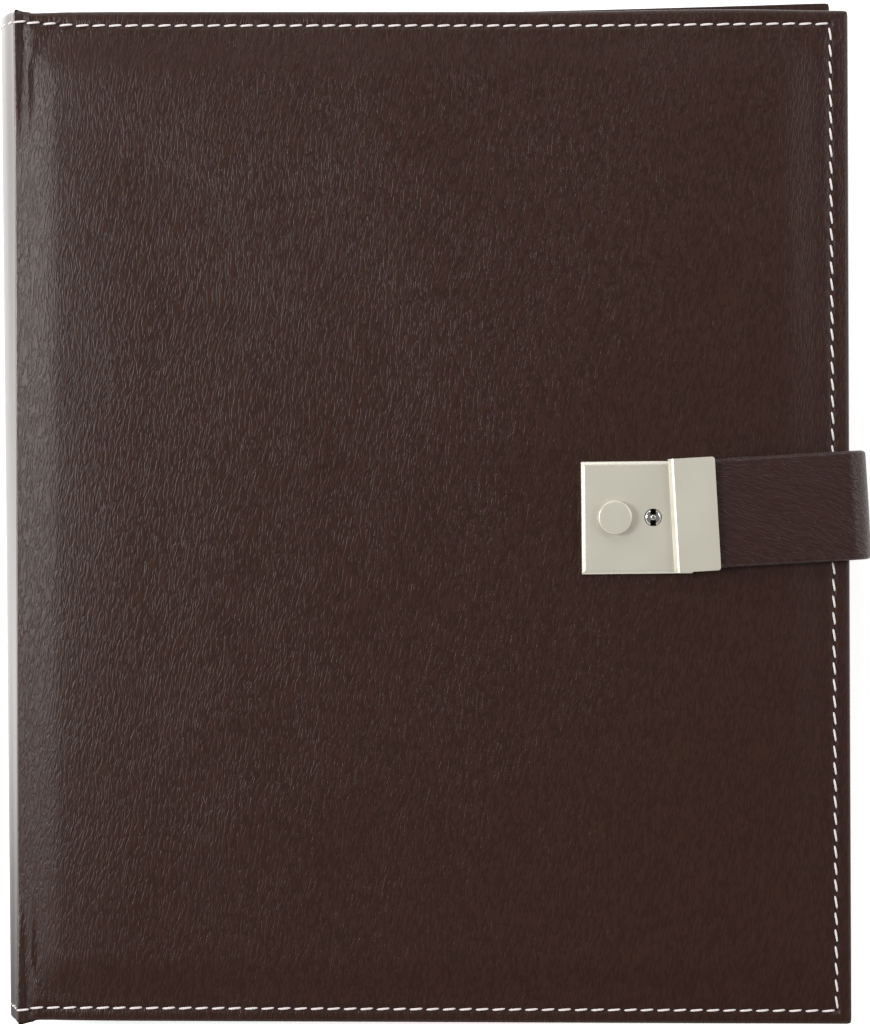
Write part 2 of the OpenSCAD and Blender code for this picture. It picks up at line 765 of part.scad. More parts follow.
module half_rings(s) {
    rear_turn() translate([ring_x, 0, ring_z]) rotate([0, 0, s < 0 ? 180 : 0]) for (i = rings)
        translate([0, i * ring_pitch, 0]) {
            rotate([90, 0, 0]) rotate([0, 0, -foot_a])
                rotate_extrude(angle = 89.4 + foot_a) translate([ring_r, 0]) circle(d = wire_d, $fn = 32);
            translate([foot_x, 0, foot_z - ring_z]) sphere(d = wire_d, $fn = 32);
            translate([foot_x, 0, blade_z + 0.5 - ring_z]) cylinder(d = wire_d, h = foot_z - blade_z - 0.5);
        }
}

module blade_left() {
    color("#b0b0ad") blade(-1);
}

module rings_left() {
    color("#d2d2cf") half_rings(-1);
}

module blade_right() {
    color("#b0b0ad") blade(1);
}

module rings_right() {
    color("#d2d2cf") half_rings(1);
}

// profile of a sheet or stack that leaves the rings and comes down on the rear lining
module sheet_profile(x0, z, low, t) {
    x1 = pocket_x0 + pocket_w;
    a = hull_w / 2 + 3;
    b = a + 32;
    polygon([[x0, z], [a, z], [b, low], [x1, low], [x1, low + t], [b, low + t], [a, z + t], [x0, z + t]]);
}

module pockets(x0, z, low, t) {
    rear_turn() translate([ring_x, 0, 0]) difference() {
        translate([0, pocket_h / 2, 0]) rotate([90, 0, 0]) linear_extrude(height = pocket_h)
            sheet_profile(x0, z, low, t);
        for (i = rings) translate([0, i * ring_pitch, 0])
            box([foot_x - 2.1, -2.6, z - 1], [ring_r + hole_out, 2.6, z + t + 1]);
        for (s = [-1, 1]) translate([0, s * (hull_len / 2 - rivet_in), 0])
            cylinder(d = rivet_head_d + 3, h = closed_t);
    }
}

module pocket_stack() {
    color("#dfe3e4") pockets(pocket_x0, stack_z, stack_low, stack_t);
}

module pocket_leaf() {
    color("#e6eaeb") pockets(leaf_x0, stack_z + stack_t + leaf_gap, stack_low + stack_t + leaf_gap, leaf_t);
}

rear_skin();
rear_padding();
rear_board();
rear_lining();
rear_stitching();
strap_root();
strap_rivets();
ring_hull();
ring_rivets();
pocket_stack();
spine_skin();
spine_board();
spine_lining();
spine_stitching();
front_hinge();
rear_hinge();
front_skin();
front_padding();
front_board();
front_lining();
front_stitching();
lock_plate();
lock_case();
lock_backing();
lock_rivets();
button_springs();
lock_button();
lock_bolt();
key_plug();
strap_bend();
strap_band();
hasp_shell();
hasp_back();
hasp_rivets();
blade_left();
rings_left();
blade_right();
rings_right();
pocket_leaf();
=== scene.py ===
"""Dresses the document portfolio: padded leathercloth covers, strap, lock, rings and clear pockets."""

import logging
import math
from contextlib import contextmanager
from dataclasses import dataclass, field
from enum import Enum
from typing import Any, Callable, Iterator, Sequence

import bmesh
import bpy
import numpy as np
from mathutils import Matrix, Vector


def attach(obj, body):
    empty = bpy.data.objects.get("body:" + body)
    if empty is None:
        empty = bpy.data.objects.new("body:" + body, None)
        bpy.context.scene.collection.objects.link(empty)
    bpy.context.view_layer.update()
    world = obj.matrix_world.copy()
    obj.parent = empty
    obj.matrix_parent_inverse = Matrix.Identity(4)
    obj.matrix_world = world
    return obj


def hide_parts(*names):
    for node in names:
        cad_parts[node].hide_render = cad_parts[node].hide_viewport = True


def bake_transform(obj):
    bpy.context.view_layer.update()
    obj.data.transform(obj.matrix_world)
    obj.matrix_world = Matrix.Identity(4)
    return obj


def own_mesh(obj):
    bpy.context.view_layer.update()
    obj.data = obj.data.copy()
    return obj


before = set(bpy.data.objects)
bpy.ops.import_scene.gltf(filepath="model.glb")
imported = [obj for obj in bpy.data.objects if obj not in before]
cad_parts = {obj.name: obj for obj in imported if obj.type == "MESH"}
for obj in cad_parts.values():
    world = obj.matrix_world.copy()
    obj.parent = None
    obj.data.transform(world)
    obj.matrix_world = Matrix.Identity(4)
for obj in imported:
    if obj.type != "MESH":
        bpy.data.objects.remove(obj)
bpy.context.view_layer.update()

LOG = logging.getLogger("portfolio")
MM = 0.001
WELD = 0.002
Point = Sequence[float]
Test = Callable[[Vector, Vector], bool]


class Side(Enum):
    """Which cover a piece belongs to."""

    FRONT = "front"
    REAR = "rear"


class Pick(Enum):
    """What a selection in edit mode takes."""

    EDGES = "edges"
    FACES = "faces"


def linear(colour: str) -> tuple[float, float, float, float]:
    """Turns an sRGB hex colour to linear light.

    Args:
        colour: six hex digits after a hash.

    Returns:
        Linear red, green, blue and an alpha of 1.
    """
    parts = [int(colour[i : i + 2], 16) / 255 for i in (1, 3, 5)]
    r, g, b = (c / 12.92 if c <= 0.04045 else ((c + 0.055) / 1.055) ** 2.4 for c in parts)
    return r, g, b, 1.0


def smooth(t: Any) -> Any:
    """Eases a number or array from 0 to 1."""
    t = np.clip(t, 0.0, 1.0)
    return t * t * (3 - 2 * t)


def make_active(obj: bpy.types.Object) -> None:
    """Selects one object alone and makes it the active one.

    Args:
        obj: the object.
    """
    bpy.ops.object.select_all(action="DESELECT")
    obj.select_set(True)
    bpy.context.view_layer.objects.active = obj


@contextmanager
def editing(obj: bpy.types.Object) -> Iterator[None]:
    """Opens an object in edit mode and closes it again.

    Args:
        obj: the object.

    Returns:
        A context in which the object is in edit mode.
    """
    make_active(obj)
    bpy.ops.object.mode_set(mode="EDIT")
    yield
    bpy.ops.object.mode_set(mode="OBJECT")


def face_outwards(obj: bpy.types.Object) -> None:
    """Turns all faces of a closed shape outwards.

    Args:
        obj: the shape.
    """
    with editing(obj):
        bpy.ops.mesh.select_all(action="SELECT")
        bpy.ops.mesh.normals_make_consistent(inside=False)


def choose(obj: bpy.types.Object, kind: Pick, test: Test) -> None:
    """Selects edges or faces in edit mode by their place.

    Args:
        obj: the object in edit mode.
        kind: edges or faces.
        test: gets the middle in millimetres, and the face's normal or the edge's direction.
    """
    bpy.ops.mesh.select_mode(type="EDGE" if kind is Pick.EDGES else "FACE")
    bpy.ops.mesh.select_all(action="DESELECT")
    mesh = bmesh.from_edit_mesh(obj.data)
    if kind is Pick.EDGES:
        for edge in mesh.edges:
            a, b = (v.co / MM for v in edge.verts)
            edge.select_set(test((a + b) / 2, (b - a).normalized()))
    else:
        for face in mesh.faces:
            face.select_set(test(face.calc_center_median() / MM, face.normal))
    mesh.select_flush_mode()
    bmesh.update_edit_mesh(obj.data)


def delete_faces(obj: bpy.types.Object, test: Test) -> None:
    """Deletes the faces that pass a test.

    Args:
        obj: the object to change.
        test: gets a face's middle in millimetres and its normal.
    """
    with editing(obj):
        choose(obj, Pick.FACES, test)
        bpy.ops.mesh.delete(type="FACE")


def block(name: str, low: Point, high: Point) -> bpy.types.Object:
    """Adds a box between two corners.

    Args:
        name: the object's name.
        low: lower corner in millimetres.
        high: upper corner in millimetres.

    Returns:
        The box, with its place in its mesh.
    """
    bpy.ops.object.select_all(action="DESELECT")
    middle = [(a + b) / 2 * MM for a, b in zip(low, high)]
    size = [(b - a) * MM for a, b in zip(low, high)]
    bpy.ops.mesh.primitive_cube_add(size=1, location=middle)
    obj = bpy.context.object
    obj.scale = size
    bpy.ops.object.transform_apply(location=True, rotation=True, scale=True)
    obj.name = name
    return obj


def rod(name: str, radius: float, z0: float, z1: float, at: Point, sides: int = 64) -> bpy.types.Object:
    """Adds an upright cylinder.

    Args:
        name: the object's name.
        radius: radius in millimetres.
        z0: lower end.
        z1: upper end.
        at: X and Y of the axis.
        sides: number of sides.

    Returns:
        The cylinder, with its place in its mesh.
    """
    bpy.ops.object.select_all(action="DESELECT")
    middle = Vector((at[0], at[1], (z0 + z1) / 2)) * MM
    depth = (z1 - z0) * MM
    bpy.ops.mesh.primitive_cylinder_add(vertices=sides, radius=radius * MM, depth=depth, location=middle)
    obj = bpy.context.object
    bpy.ops.object.transform_apply(location=True, rotation=True, scale=True)
    obj.name = name
    return obj


def bevel(obj: bpy.types.Object, width: float, segments: int, test: Test) -> None:
    """Rounds the edges that pass a test.

    Args:
        obj: the object to change.
        width: width of the rounding in millimetres.
        segments: faces across the rounding.
        test: gets an edge's middle in millimetres and its direction.
    """
    with editing(obj):
        choose(obj, Pick.EDGES, test)
        bpy.ops.mesh.bevel(
            offset=width * MM, segments=segments, affect="EDGES", profile=0.5, clamp_overlap=True
        )


def carve(obj: bpy.types.Object, *cutters: bpy.types.Object) -> None:
    """Cuts other objects out of one and deletes them.

    Args:
        obj: the object to change.
        cutters: what is cut out.
    """
    for cutter in cutters:
        make_active(obj)
        mod = obj.modifiers.new("cut", "BOOLEAN")
        mod.operation = "DIFFERENCE"
        mod.solver = "EXACT"
        mod.object = cutter
        bpy.ops.object.modifier_apply(modifier=mod.name)
        bpy.data.objects.remove(cutter)


def unite(name: str, pieces: Sequence[bpy.types.Object]) -> bpy.types.Object:
    """Joins pieces to one object.

    Args:
        name: the new object's name.
        pieces: what is joined.

    Returns:
        The joined object.
    """
    make_active(pieces[0])
    for piece in pieces:
        piece.select_set(True)
    if len(pieces) > 1:
        bpy.ops.object.join()
    pieces[0].name = name
    pieces[0].data.name = name
    return pieces[0]


def net(name: str, points: np.ndarray, weld: bool = False) -> bpy.types.Object:
    """Adds a grid and moves its points in code, as a sheet is shaped by hand.

    Args:
        name: the object's name.
        points: rows by columns by 3, in millimetres.
        weld: merge points that fall together, as at mitred corners.

    Returns:
        The shaped sheet.
    """
    rows, cols = points.shape[:2]
    bpy.ops.object.select_all(action="DESELECT")
    bpy.ops.mesh.primitive_grid_add(x_subdivisions=cols - 1, y_subdivisions=rows - 1, size=2)
    obj = bpy.context.object
    obj.name = name
    obj.data.name = name
    flat = np.empty(len(obj.data.vertices) * 3)
    obj.data.vertices.foreach_get("co", flat)
    flat = flat.reshape(-1, 3)
    j = np.rint((flat[:, 0] + 1) / 2 * (cols - 1)).astype(int)
    i = np.rint((flat[:, 1] + 1) / 2 * (rows - 1)).astype(int)
    obj.data.vertices.foreach_set("co", (points[i, j] * MM).ravel())
    obj.data.update()
    if weld:
        with editing(obj):
            bpy.ops.mesh.select_all(action="SELECT")
            bpy.ops.mesh.remove_doubles(threshold=WELD * MM)
            bpy.ops.mesh.dissolve_degenerate(threshold=WELD * MM)
    return obj


def soften(obj: bpy.types.Object, angle: float = 180.0) -> None:
    """Shades an object smooth.

    Args:
        obj: the object.
        angle: edges sharper than this, in degrees, stay sharp.
    """
    make_active(obj)
    if angle >= 180:
        bpy.ops.object.shade_smooth()
    else:
        bpy.ops.object.shade_smooth_by_angle(angle=math.radians(angle))


def set_inputs(node: bpy.types.Node, sockets: dict[Any, Any]) -> None:
    """Sets or links inputs of a node.

    Args:
        node: the node.
        sockets: value or linked output for each input, by name or number.
    """
    for key, value in sockets.items():
        if isinstance(value, bpy.types.NodeSocket):
            node.id_data.links.new(value, node.inputs[key])
        else:
            node.inputs[key].default_value = value


def add_node(tree: bpy.types.NodeTree, kind: str, sockets: dict[Any, Any], **settings: Any) -> bpy.types.Node:
    """Adds one node, with its settings, values and links.

    Args:
        tree: the tree it goes into.
        kind: the node's type, without the words that all types begin with.
        sockets: value or linked output for each input, by name or number.
        settings: fields of the node.

    Returns:
        The new node.
    """
    node = tree.nodes.new(f"ShaderNode{kind}")
    for key, value in settings.items():
        setattr(node, key, value)
    set_inputs(node, sockets)
    return node


def blank(name: str) -> tuple[bpy.types.Material, bpy.types.NodeTree, bpy.types.Node]:
    """Makes a material with one shader.

    Args:
        name: the material's name.

    Returns:
        The material, its tree and its shader.
    """
    material = bpy.data.materials.new(name)
    material.use_nodes = True
    tree = material.node_tree
    return material, tree, tree.nodes["Principled BSDF"]


def in_millimetres(
    tree: bpy.types.NodeTree, turn: float = 0.0, stretch: Point = (1, 1, 1)
) -> bpy.types.NodeSocket:
    """Gives object coordinates in millimetres, turned about Z and then stretched.

    Args:
        tree: the material's tree.
        turn: angle in degrees.
        stretch: millimetres per unit along each turned axis.

    Returns:
        The vector output.
    """
    place = add_node(tree, "TexCoord", {}).outputs["Object"]
    turned = add_node(
        tree, "Mapping", {"Vector": place, "Rotation": (0, 0, math.radians(turn)), "Scale": (1 / MM,) * 3}
    )
    scale = tuple(1 / s for s in stretch)
    return add_node(tree, "Mapping", {"Vector": turned.outputs[0], "Scale": scale}).outputs[0]


@dataclass(frozen=True)
class Leathercloth:
    """Embossed and coated faux leather; the drawn wrinkles catch the light on their flanks, and painted shade
    darkens their creases.
    """

    name: str
    shaded_valley: str
    ridge: str
    lean: float = 9.0
    pitch: float = 1.15
    length: float = 5.4
    relief: float = 0.07
    roughness: float = 0.36
    fade: float = 0.38
    sheen: float = 0.1
    gloss: float = 0.4

    def material(self) -> bpy.types.Material:
        """Builds the grain from stretched wrinkles and finer pores.

        Returns:
            The material.
        """
        material, tree, shader = blank(self.name)
        place = in_millimetres(tree, self.lean)
        swirl = add_node(tree, "TexNoise", {"Vector": place, "Scale": 1 / 42, "Detail": 1.0})
        offset = add_node(
            tree, "VectorMath", {0: swirl.outputs["Color"], 1: (0.5, 0.5, 0.5)}, operation="SUBTRACT"
        )
        pushed = add_node(
            tree,
            "VectorMath",
            {0: offset.outputs[0], 1: (7.0, 4.0, 4.0), 2: place},
            operation="MULTIPLY_ADD",
        )
        drawn = add_node(
            tree,
            "Mapping",
            {"Vector": pushed.outputs[0], "Scale": (1 / self.pitch, 1 / self.length, 1 / self.pitch)},
        )
        folds = add_node(
            tree,
            "TexNoise",
            {"Vector": drawn.outputs[0], "Scale": 1.0, "Detail": 2.0, "Roughness": 0.5, "Distortion": 0.2},
        )
        middle = add_node(tree, "Math", {0: folds.outputs["Fac"], 1: 0.5}, operation="SUBTRACT")
        apart = add_node(tree, "Math", {0: middle.outputs[0]}, operation="ABSOLUTE")
        wrinkle = add_node(
            tree, "MapRange", {"Value": apart.outputs[0], "From Max": 0.14}, interpolation_type="SMOOTHSTEP"
        )
        pores = add_node(
            tree, "TexNoise", {"Vector": drawn.outputs[0], "Scale": 2.6, "Detail": 3.0, "Roughness": 0.6}
        )
        height = add_node(
            tree,
            "Math",
            {0: pores.outputs["Fac"], 1: 1.1, 2: wrinkle.outputs["Result"]},
            operation="MULTIPLY_ADD",
        )
        # the emboss is deepest towards the spine and shallower towards the fore-edge and tail
        across = add_node(
            tree,
            "VectorMath",
            {0: in_millimetres(tree), 1: (-0.0018, 0.0008, 0.0)},
            operation="DOT_PRODUCT",
        )
        patch = add_node(tree, "TexNoise", {"Vector": in_millimetres(tree), "Scale": 1 / 55, "Detail": 2.0})
        depth = add_node(
            tree,
            "Math",
            {0: patch.outputs["Fac"], 1: 0.5, 2: across.outputs["Value"]},
            operation="MULTIPLY_ADD",
        )
        strength = add_node(
            tree, "MapRange", {"Value": depth.outputs[0], "From Max": 0.45, "To Min": self.fade}
        )
        bump = add_node(
            tree,
            "Bump",
            {"Strength": strength.outputs[0], "Distance": self.relief * MM, "Height": height.outputs[0]},
        )
        # painted shade: the colour follows the height, so the creases are drawn darker where shade falls in
        # them; the pores add a random tone
        lift = add_node(tree, "MapRange", {"Value": height.outputs[0], "From Min": 0.2, "From Max": 1.7})
        shade = add_node(
            tree,
            "Mix",
            {0: lift.outputs[0], 6: linear(self.shaded_valley), 7: linear(self.ridge)},
            data_type="RGBA",
        )
        wear = add_node(
            tree,
            "MapRange",
            {"Value": pores.outputs["Fac"], "To Min": self.roughness - 0.05, "To Max": self.roughness + 0.1},
        )
        set_inputs(
            shader,
            {
                "Base Color": shade.outputs[2],
                "Roughness": wear.outputs[0],
                "Normal": bump.outputs[0],
                "IOR": 1.45,
                "Specular IOR Level": self.gloss,
                "Sheen Weight": self.sheen,
                "Sheen Roughness": 0.3,
            },
        )
        return material


@dataclass(frozen=True)
class PolishedCloth:
    """The same cloth drawn tight over the spine: its grain is ironed out and it shines like lacquer."""

    name: str = "spine_leathercloth"
    colour: str = "#3a2822"
    worn: str = "#432f29"
    patch: float = 30.0
    grain: float = 0.8

    def material(self) -> bpy.types.Material:
        """Builds a smooth cloth under a clear coat.

        Returns:
            The material.
        """
        material, tree, shader = blank(self.name)
        place = in_millimetres(tree)
        patch = add_node(tree, "TexNoise", {"Vector": place, "Scale": 1 / self.patch, "Detail": 3.0})
        # painted highlight: both colours are paler and greyer than the covers' cloth; the worn patches vary
        # at random
        shade = add_node(
            tree,
            "Mix",
            {0: patch.outputs["Fac"], 6: linear(self.colour), 7: linear(self.worn)},
            data_type="RGBA",
        )
        fine = add_node(tree, "TexNoise", {"Vector": place, "Scale": 1 / self.grain, "Detail": 2.0})
        bump = add_node(
            tree, "Bump", {"Strength": 0.25, "Distance": 0.04 * MM, "Height": fine.outputs["Fac"]}
        )
        set_inputs(
            shader,
            {
                "Base Color": shade.outputs[2],
                "Normal": bump.outputs[0],
                "Roughness": 0.35,
                "Coat Weight": 1.0,
                "Coat IOR": 1.65,
                "Coat Roughness": 0.28,
                "Sheen Weight": 0.15,
                "Sheen Roughness": 0.35,
            },
        )
        return material


@dataclass(frozen=True)
class Thread:
    """Bonded polyester sewing thread; its twist gives fine slanted ribs and a dull sheen, with painted shade
    in the hollows between the ribs.
    """

    name: str = "white_thread"
    colour: str = "#f3edeb"
    shaded_hollow: str = "#ded5d2"
    twist: float = 0.5

    def material(self) -> bpy.types.Material:
        """Builds slanted ribs along the thread.

        Returns:
            The material.
        """
        material, tree, shader = blank(self.name)
        ribs = add_node(
            tree,
            "TexWave",
            {
                "Vector": in_millimetres(tree, 35.0),
                "Scale": 1 / self.twist / 3,
                "Distortion": 1.5,
                "Detail": 1.0,
            },
            bands_direction="X",
        )
        # painted shade: the hollows between the ribs are drawn darker than the thread
        shade = add_node(
            tree,
            "Mix",
            {0: ribs.outputs["Fac"], 6: linear(self.shaded_hollow), 7: linear(self.colour)},
            data_type="RGBA",
        )
        bump = add_node(
            tree, "Bump", {"Strength": 0.5, "Distance": 0.06 * MM, "Height": ribs.outputs["Fac"]}
        )
        set_inputs(
            shader,
            {
                "Base Color": shade.outputs[2],
                "Normal": bump.outputs[0],
                "Roughness": 0.75,
                "Sheen Weight": 0.3,
            },
        )
        return material


@dataclass(frozen=True)
class Plated:
    """Plated metal: a base colour, a fine drawn finish and slight cloudiness in its gloss."""

    name: str
    colour: str
    roughness: float
    metallic: float = 1.0
    grit: float = 0.35
    draw: float = 9.0
    relief: float = 0.006
    cloud: float = 12.0

    def material(self) -> bpy.types.Material:
        """Builds the finish from stretched fine noise.

        Returns:
            The material.
        """
        material, tree, shader = blank(self.name)
        drawn = in_millimetres(tree, 0.0, (self.grit, self.draw, self.grit))
        lines = add_node(tree, "TexNoise", {"Vector": drawn, "Scale": 1.0, "Detail": 2.0})
        place = in_millimetres(tree)
        cloud = add_node(tree, "TexNoise", {"Vector": place, "Scale": 1 / self.cloud, "Detail": 2.0})
        gloss = add_node(
            tree,
            "MapRange",
            {
                "Value": cloud.outputs["Fac"],
                "From Min": 0.3,
                "From Max": 0.7,
                "To Min": self.roughness * 0.85,
                "To Max": self.roughness * 1.15,
            },
        )
        bump = add_node(
            tree, "Bump", {"Strength": 0.6, "Distance": self.relief * MM, "Height": lines.outputs["Fac"]}
        )
        set_inputs(
            shader,
            {
                "Base Color": linear(self.colour),
                "Metallic": self.metallic,
                "Roughness": gloss.outputs[0],
                "Normal": bump.outputs[0],
            },
        )
        return material


@dataclass(frozen=True)
class WovenLining:
    """Plain-woven rayon lining: dark threads over and under each other, slightly lustrous."""

    name: str = "woven_lining"
    warp: str = "#3a2d2a"
    weft: str = "#241b19"
    spacing: float = 0.9
    slub: tuple[float, float, float] = (0.5, 8.0, 8.0)

    def material(self) -> bpy.types.Material:
        """Builds the weave; the threads are drawn coarser than 0.4 mm so that they show.

        Returns:
            The material.
        """
        material, tree, shader = blank(self.name)
        cells = in_millimetres(tree, 0.0, (self.spacing * 2,) * 3)
        weave = add_node(tree, "TexChecker", {"Vector": cells, "Scale": 2.0})
        along = in_millimetres(tree, 0.0, self.slub)
        slub = add_node(tree, "TexNoise", {"Vector": along, "Scale": 1.0, "Detail": 2.0})
        mixed = add_node(
            tree,
            "Math",
            {0: slub.outputs["Fac"], 1: 0.6, 2: weave.outputs["Fac"]},
            operation="MULTIPLY_ADD",
        )
        shade = add_node(
            tree, "Mix", {0: mixed.outputs[0], 6: linear(self.weft), 7: linear(self.warp)}, data_type="RGBA"
        )
        bump = add_node(tree, "Bump", {"Strength": 0.5, "Distance": 0.1 * MM, "Height": mixed.outputs[0]})
        set_inputs(
            shader,
            {
                "Base Color": shade.outputs[2],
                "Normal": bump.outputs[0],
                "Roughness": 0.7,
                "Sheen Weight": 0.25,
            },
        )
        return material


@dataclass(frozen=True)
class BookBoard:
    """Grey book board: pressed waste paper with flecks."""

    name: str = "book_board"
    colour: str = "#8f8271"
    fleck: str = "#6f6557"
    pulp: float = 1.5

    def material(self) -> bpy.types.Material:
        """Builds flecked pulp.

        Returns:
            The material.
        """
        material, tree, shader = blank(self.name)
        place = in_millimetres(tree)
        fleck = add_node(tree, "TexNoise", {"Vector": place, "Scale": 1 / self.pulp, "Detail": 5.0})
        shade = add_node(
            tree,
            "Mix",
            {0: fleck.outputs["Fac"], 6: linear(self.fleck), 7: linear(self.colour)},
            data_type="RGBA",
        )
        set_inputs(shader, {"Base Color": shade.outputs[2], "Roughness": 0.9})
        return material


@dataclass(frozen=True)
class ClearFilm:
    """Cast polypropylene film: clear, slightly milky, with an orange-peel skin."""

    name: str = "clear_film"
    colour: str = "#eef2f3"
    peel: float = 3.0

    def material(self) -> bpy.types.Material:
        """Builds a see-through film with a fine orange peel.

        Returns:
            The material.
        """
        material, tree, shader = blank(self.name)
        place = in_millimetres(tree)
        peel = add_node(tree, "TexNoise", {"Vector": place, "Scale": 1 / self.peel, "Detail": 3.0})
        bump = add_node(
            tree, "Bump", {"Strength": 0.35, "Distance": 0.05 * MM, "Height": peel.outputs["Fac"]}
        )
        haze = add_node(tree, "MapRange", {"Value": peel.outputs["Fac"], "To Min": 0.08, "To Max": 0.22})
        set_inputs(
            shader,
            {
                "Base Color": linear(self.colour),
                "Roughness": haze.outputs[0],
                "Normal": bump.outputs[0],
                "IOR": 1.49,
                "Alpha": 0.3,
            },
        )
        return material


# vinyl-coated leathercloth, embossed with a drawn grain: dark brown with a soft, broad gloss, and painted
# shade in its creases
COVER_LEATHER = Leathercloth("cover_leathercloth", "#27120c", "#351d13")
# the same cloth cut across its grain for the strap: redder, with deeper wrinkles and a stronger gloss
STRAP_LEATHER = Leathercloth(
    "strap_leathercloth", "#280e07", "#2f140b", lean=104.0, pitch=1.2, relief=0.1, fade=1.0, gloss=0.6
)
# the same cloth ironed smooth over the spine, with the gloss of lacquer; its colours are drawn paler and
# greyer than the covers', a painted highlight that adds to the strip's pale sheen
SPINE_LEATHER = PolishedCloth()
# bonded polyester thread, white and dull
THREAD = Thread()
# satin champagne nickel over pressed steel, lacquered, so it scatters more than bare metal
SATIN_NICKEL = Plated("satin_champagne_nickel", "#dbd7c8", 0.33, 0.4, relief=0.002)
# bright chrome over brass, as on lock cylinders
KEY_CHROME = Plated("bright_chrome", "#e2e1dd", 0.12, relief=0.001)
# painted shade: the walls of the keyway are drawn near black and dull, as the deep slots fall in shade
KEYWAY_SHADE = Plated("keyway_painted_shade", "#0c0b0a", 0.6, 0.0)
# plain rolled sheet steel, grey with a dull gleam
SHEET_STEEL = Plated("rolled_steel", "#b4b3ae", 0.38)
# bright nickel-plated steel of ring mechanisms
RING_STEEL = Plated("bright_nickel", "#cfcfcc", 0.18, relief=0.002)
# dark plain-woven rayon, slightly lustrous
LINING = WovenLining()
# pressed waste-paper board, dull and flecked
BOARD = BookBoard()
# cast polypropylene, see-through and a little milky
FILM = ClearFilm()


class FinishBook:
    """Keeps one material per finish."""

    def __init__(self) -> None:
        """Starts with no materials."""
        self.made: dict[str, bpy.types.Material] = {}

    def get(self, finish: Any) -> bpy.types.Material:
        """Gives a finish's material, made at its first use.

        Args:
            finish: one of the finishes.

        Returns:
            The material.
        """
        if finish.name not in self.made:
            self.made[finish.name] = finish.material()
        return self.made[finish.name]


BOOK = FinishBook()


def dress(obj: bpy.types.Object, *finishes: Any) -> None:
    """Gives an object its finishes.

    Args:
        obj: the object.
        finishes: its finishes, in slot order.
    """
    obj.data.materials.clear()
    for finish in finishes:
        obj.data.materials.append(BOOK.get(finish))


def dress_nodes(finish: Any, *names: str) -> None:
    """Gives carried-over parts a finish.

    Args:
        finish: the finish.
        names: the parts' node names.
    """
    for name in names:
        dress(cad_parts[name], finish)
        LOG.info("part %s: %s", name, finish.name)


def report(obj: bpy.types.Object) -> None:
    """Logs a finished piece and its face count."""
    LOG.info("piece %s: %d faces", obj.name, len(obj.data.polygons))


def hand_over(obj: bpy.types.Object, body: str, slot: str, *nodes: str) -> None:
    """Lets a finished piece ride on a body in place of solid parts, and logs it.

    Args:
        obj: the piece.
        body: the body that carries it.
        slot: not used.
        nodes: the parts that it stands for.
    """
    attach(obj, body)
    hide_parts(*nodes)
    report(obj)


@dataclass
class Frame:
    """Sizes shared by the pieces, in millimetres."""

    closed: float = 36.0
    groove_x: float = -131.12
    shoulder_x: float = -134.47
    spine_half: float = 13.28
    spine_bulge: float = 5.1
    spine_round: float = 0.25
    spine_swell: float = 0.215
    spine_in: float = -132.36
    spine_flare: float = 1.0
    spine_over: float = 0.7
    lean: float = 0.6
    strap_origin: tuple[float, float] = (134.2, 4.0)
    strap_tilt: float = 3.3
    rear_skew: float = 1.1
    rear_shift: float = 2.2

    def strap_matrix(self) -> Matrix:
        """Gives the placement of the strap and hasp.

        Returns:
            The placement, in metres.
        """
        x, y = self.strap_origin
        tilt = Matrix.Rotation(math.radians(self.strap_tilt), 4, "Z")
        return Matrix.Translation((x * MM, y * MM, 0)) @ tilt

    def drift(self, x: float, y: float) -> float:
        """Gives how far a point of the spine leans over, from its place across and along."""
        return (self.spine_flare * float(smooth((self.shoulder_x - x) / 3)) + self.lean) * y / 160

    def spine_point(self, share: float, swell: float = 0.0) -> tuple[Vector, Vector]:
        """Gives a point on the outside of the spine and the direction out of it.

        Args:
            share: 0 half way up the spine, 1 at the front shoulder and -1 at the rear one.
            swell: how much taller the spine is there.

        Returns:
            The point, in millimetres, and the outward direction.
        """
        c = self.spine_round
        reach = math.hypot(1, c) - c
        x = self.shoulder_x - self.spine_bulge * (1 - (math.hypot(share, c) - c) / reach)
        steep = self.spine_bulge * share / math.hypot(share, c) / reach
        half = self.spine_half * (1 + swell)
        return Vector((x, 0, self.closed / 2 + half * share)), Vector((-half, 0, steep)).normalized()


FRAME = Frame()


@dataclass
class StitchShape:
    """One stitch: a thread that rises out of one hole and dips into the next."""

    length: float = 4.2
    radius: float = 0.34
    slant: float = 5.0
    rings: int = 6
    sides: int = 8

    def model(self) -> bpy.types.Object:
        """Shapes one stitch along X at the origin.

        Returns:
            The stitch.
        """
        bpy.ops.object.select_all(action="DESELECT")
        bpy.ops.mesh.primitive_uv_sphere_add(
            segments=self.sides, ring_count=self.rings, radius=1.0, rotation=(0, math.pi / 2, 0)
        )
        obj = bpy.context.object
        bpy.ops.object.transform_apply(location=True, rotation=True, scale=True)
        for vertex in obj.data.vertices:
            c = vertex.co
            reach = abs(c.x)
            along = math.copysign(reach**0.75, c.x) if reach > 1e-6 else 0.0
            girth = max(0.0, 1 - reach**3.5) ** 0.5
            size = math.hypot(c.y, c.z) or 1.0
            dip = -0.55 * reach**3
            vertex.co = Vector(
                (
                    along * self.length / 2 * MM,
                    c.y / size * girth * self.radius * MM,
                    (c.z / size * girth * self.radius * 0.85 + dip) * MM,
                )
            )
        return obj

    def sew(self, name: str, places: Sequence[Matrix]) -> bpy.types.Object:
        """Copies the stitch to every place and joins the row.

        Args:
            name: name of the row.
            places: placement of each stitch, in metres.

        Returns:
            The stitches as one piece.
        """
        first = self.model()
        slant = Matrix.Rotation(math.radians(self.slant), 4, "Z")
        row = []
        for place in places:
            copy = first.copy()
            copy.data = first.data.copy()
            copy.data.transform(place @ slant)
            bpy.context.collection.objects.link(copy)
            row.append(copy)
        bpy.data.objects.remove(first)
        obj = unite(name, row)
        soften(obj)
        dress(obj, THREAD)
        return obj


STITCH = StitchShape()


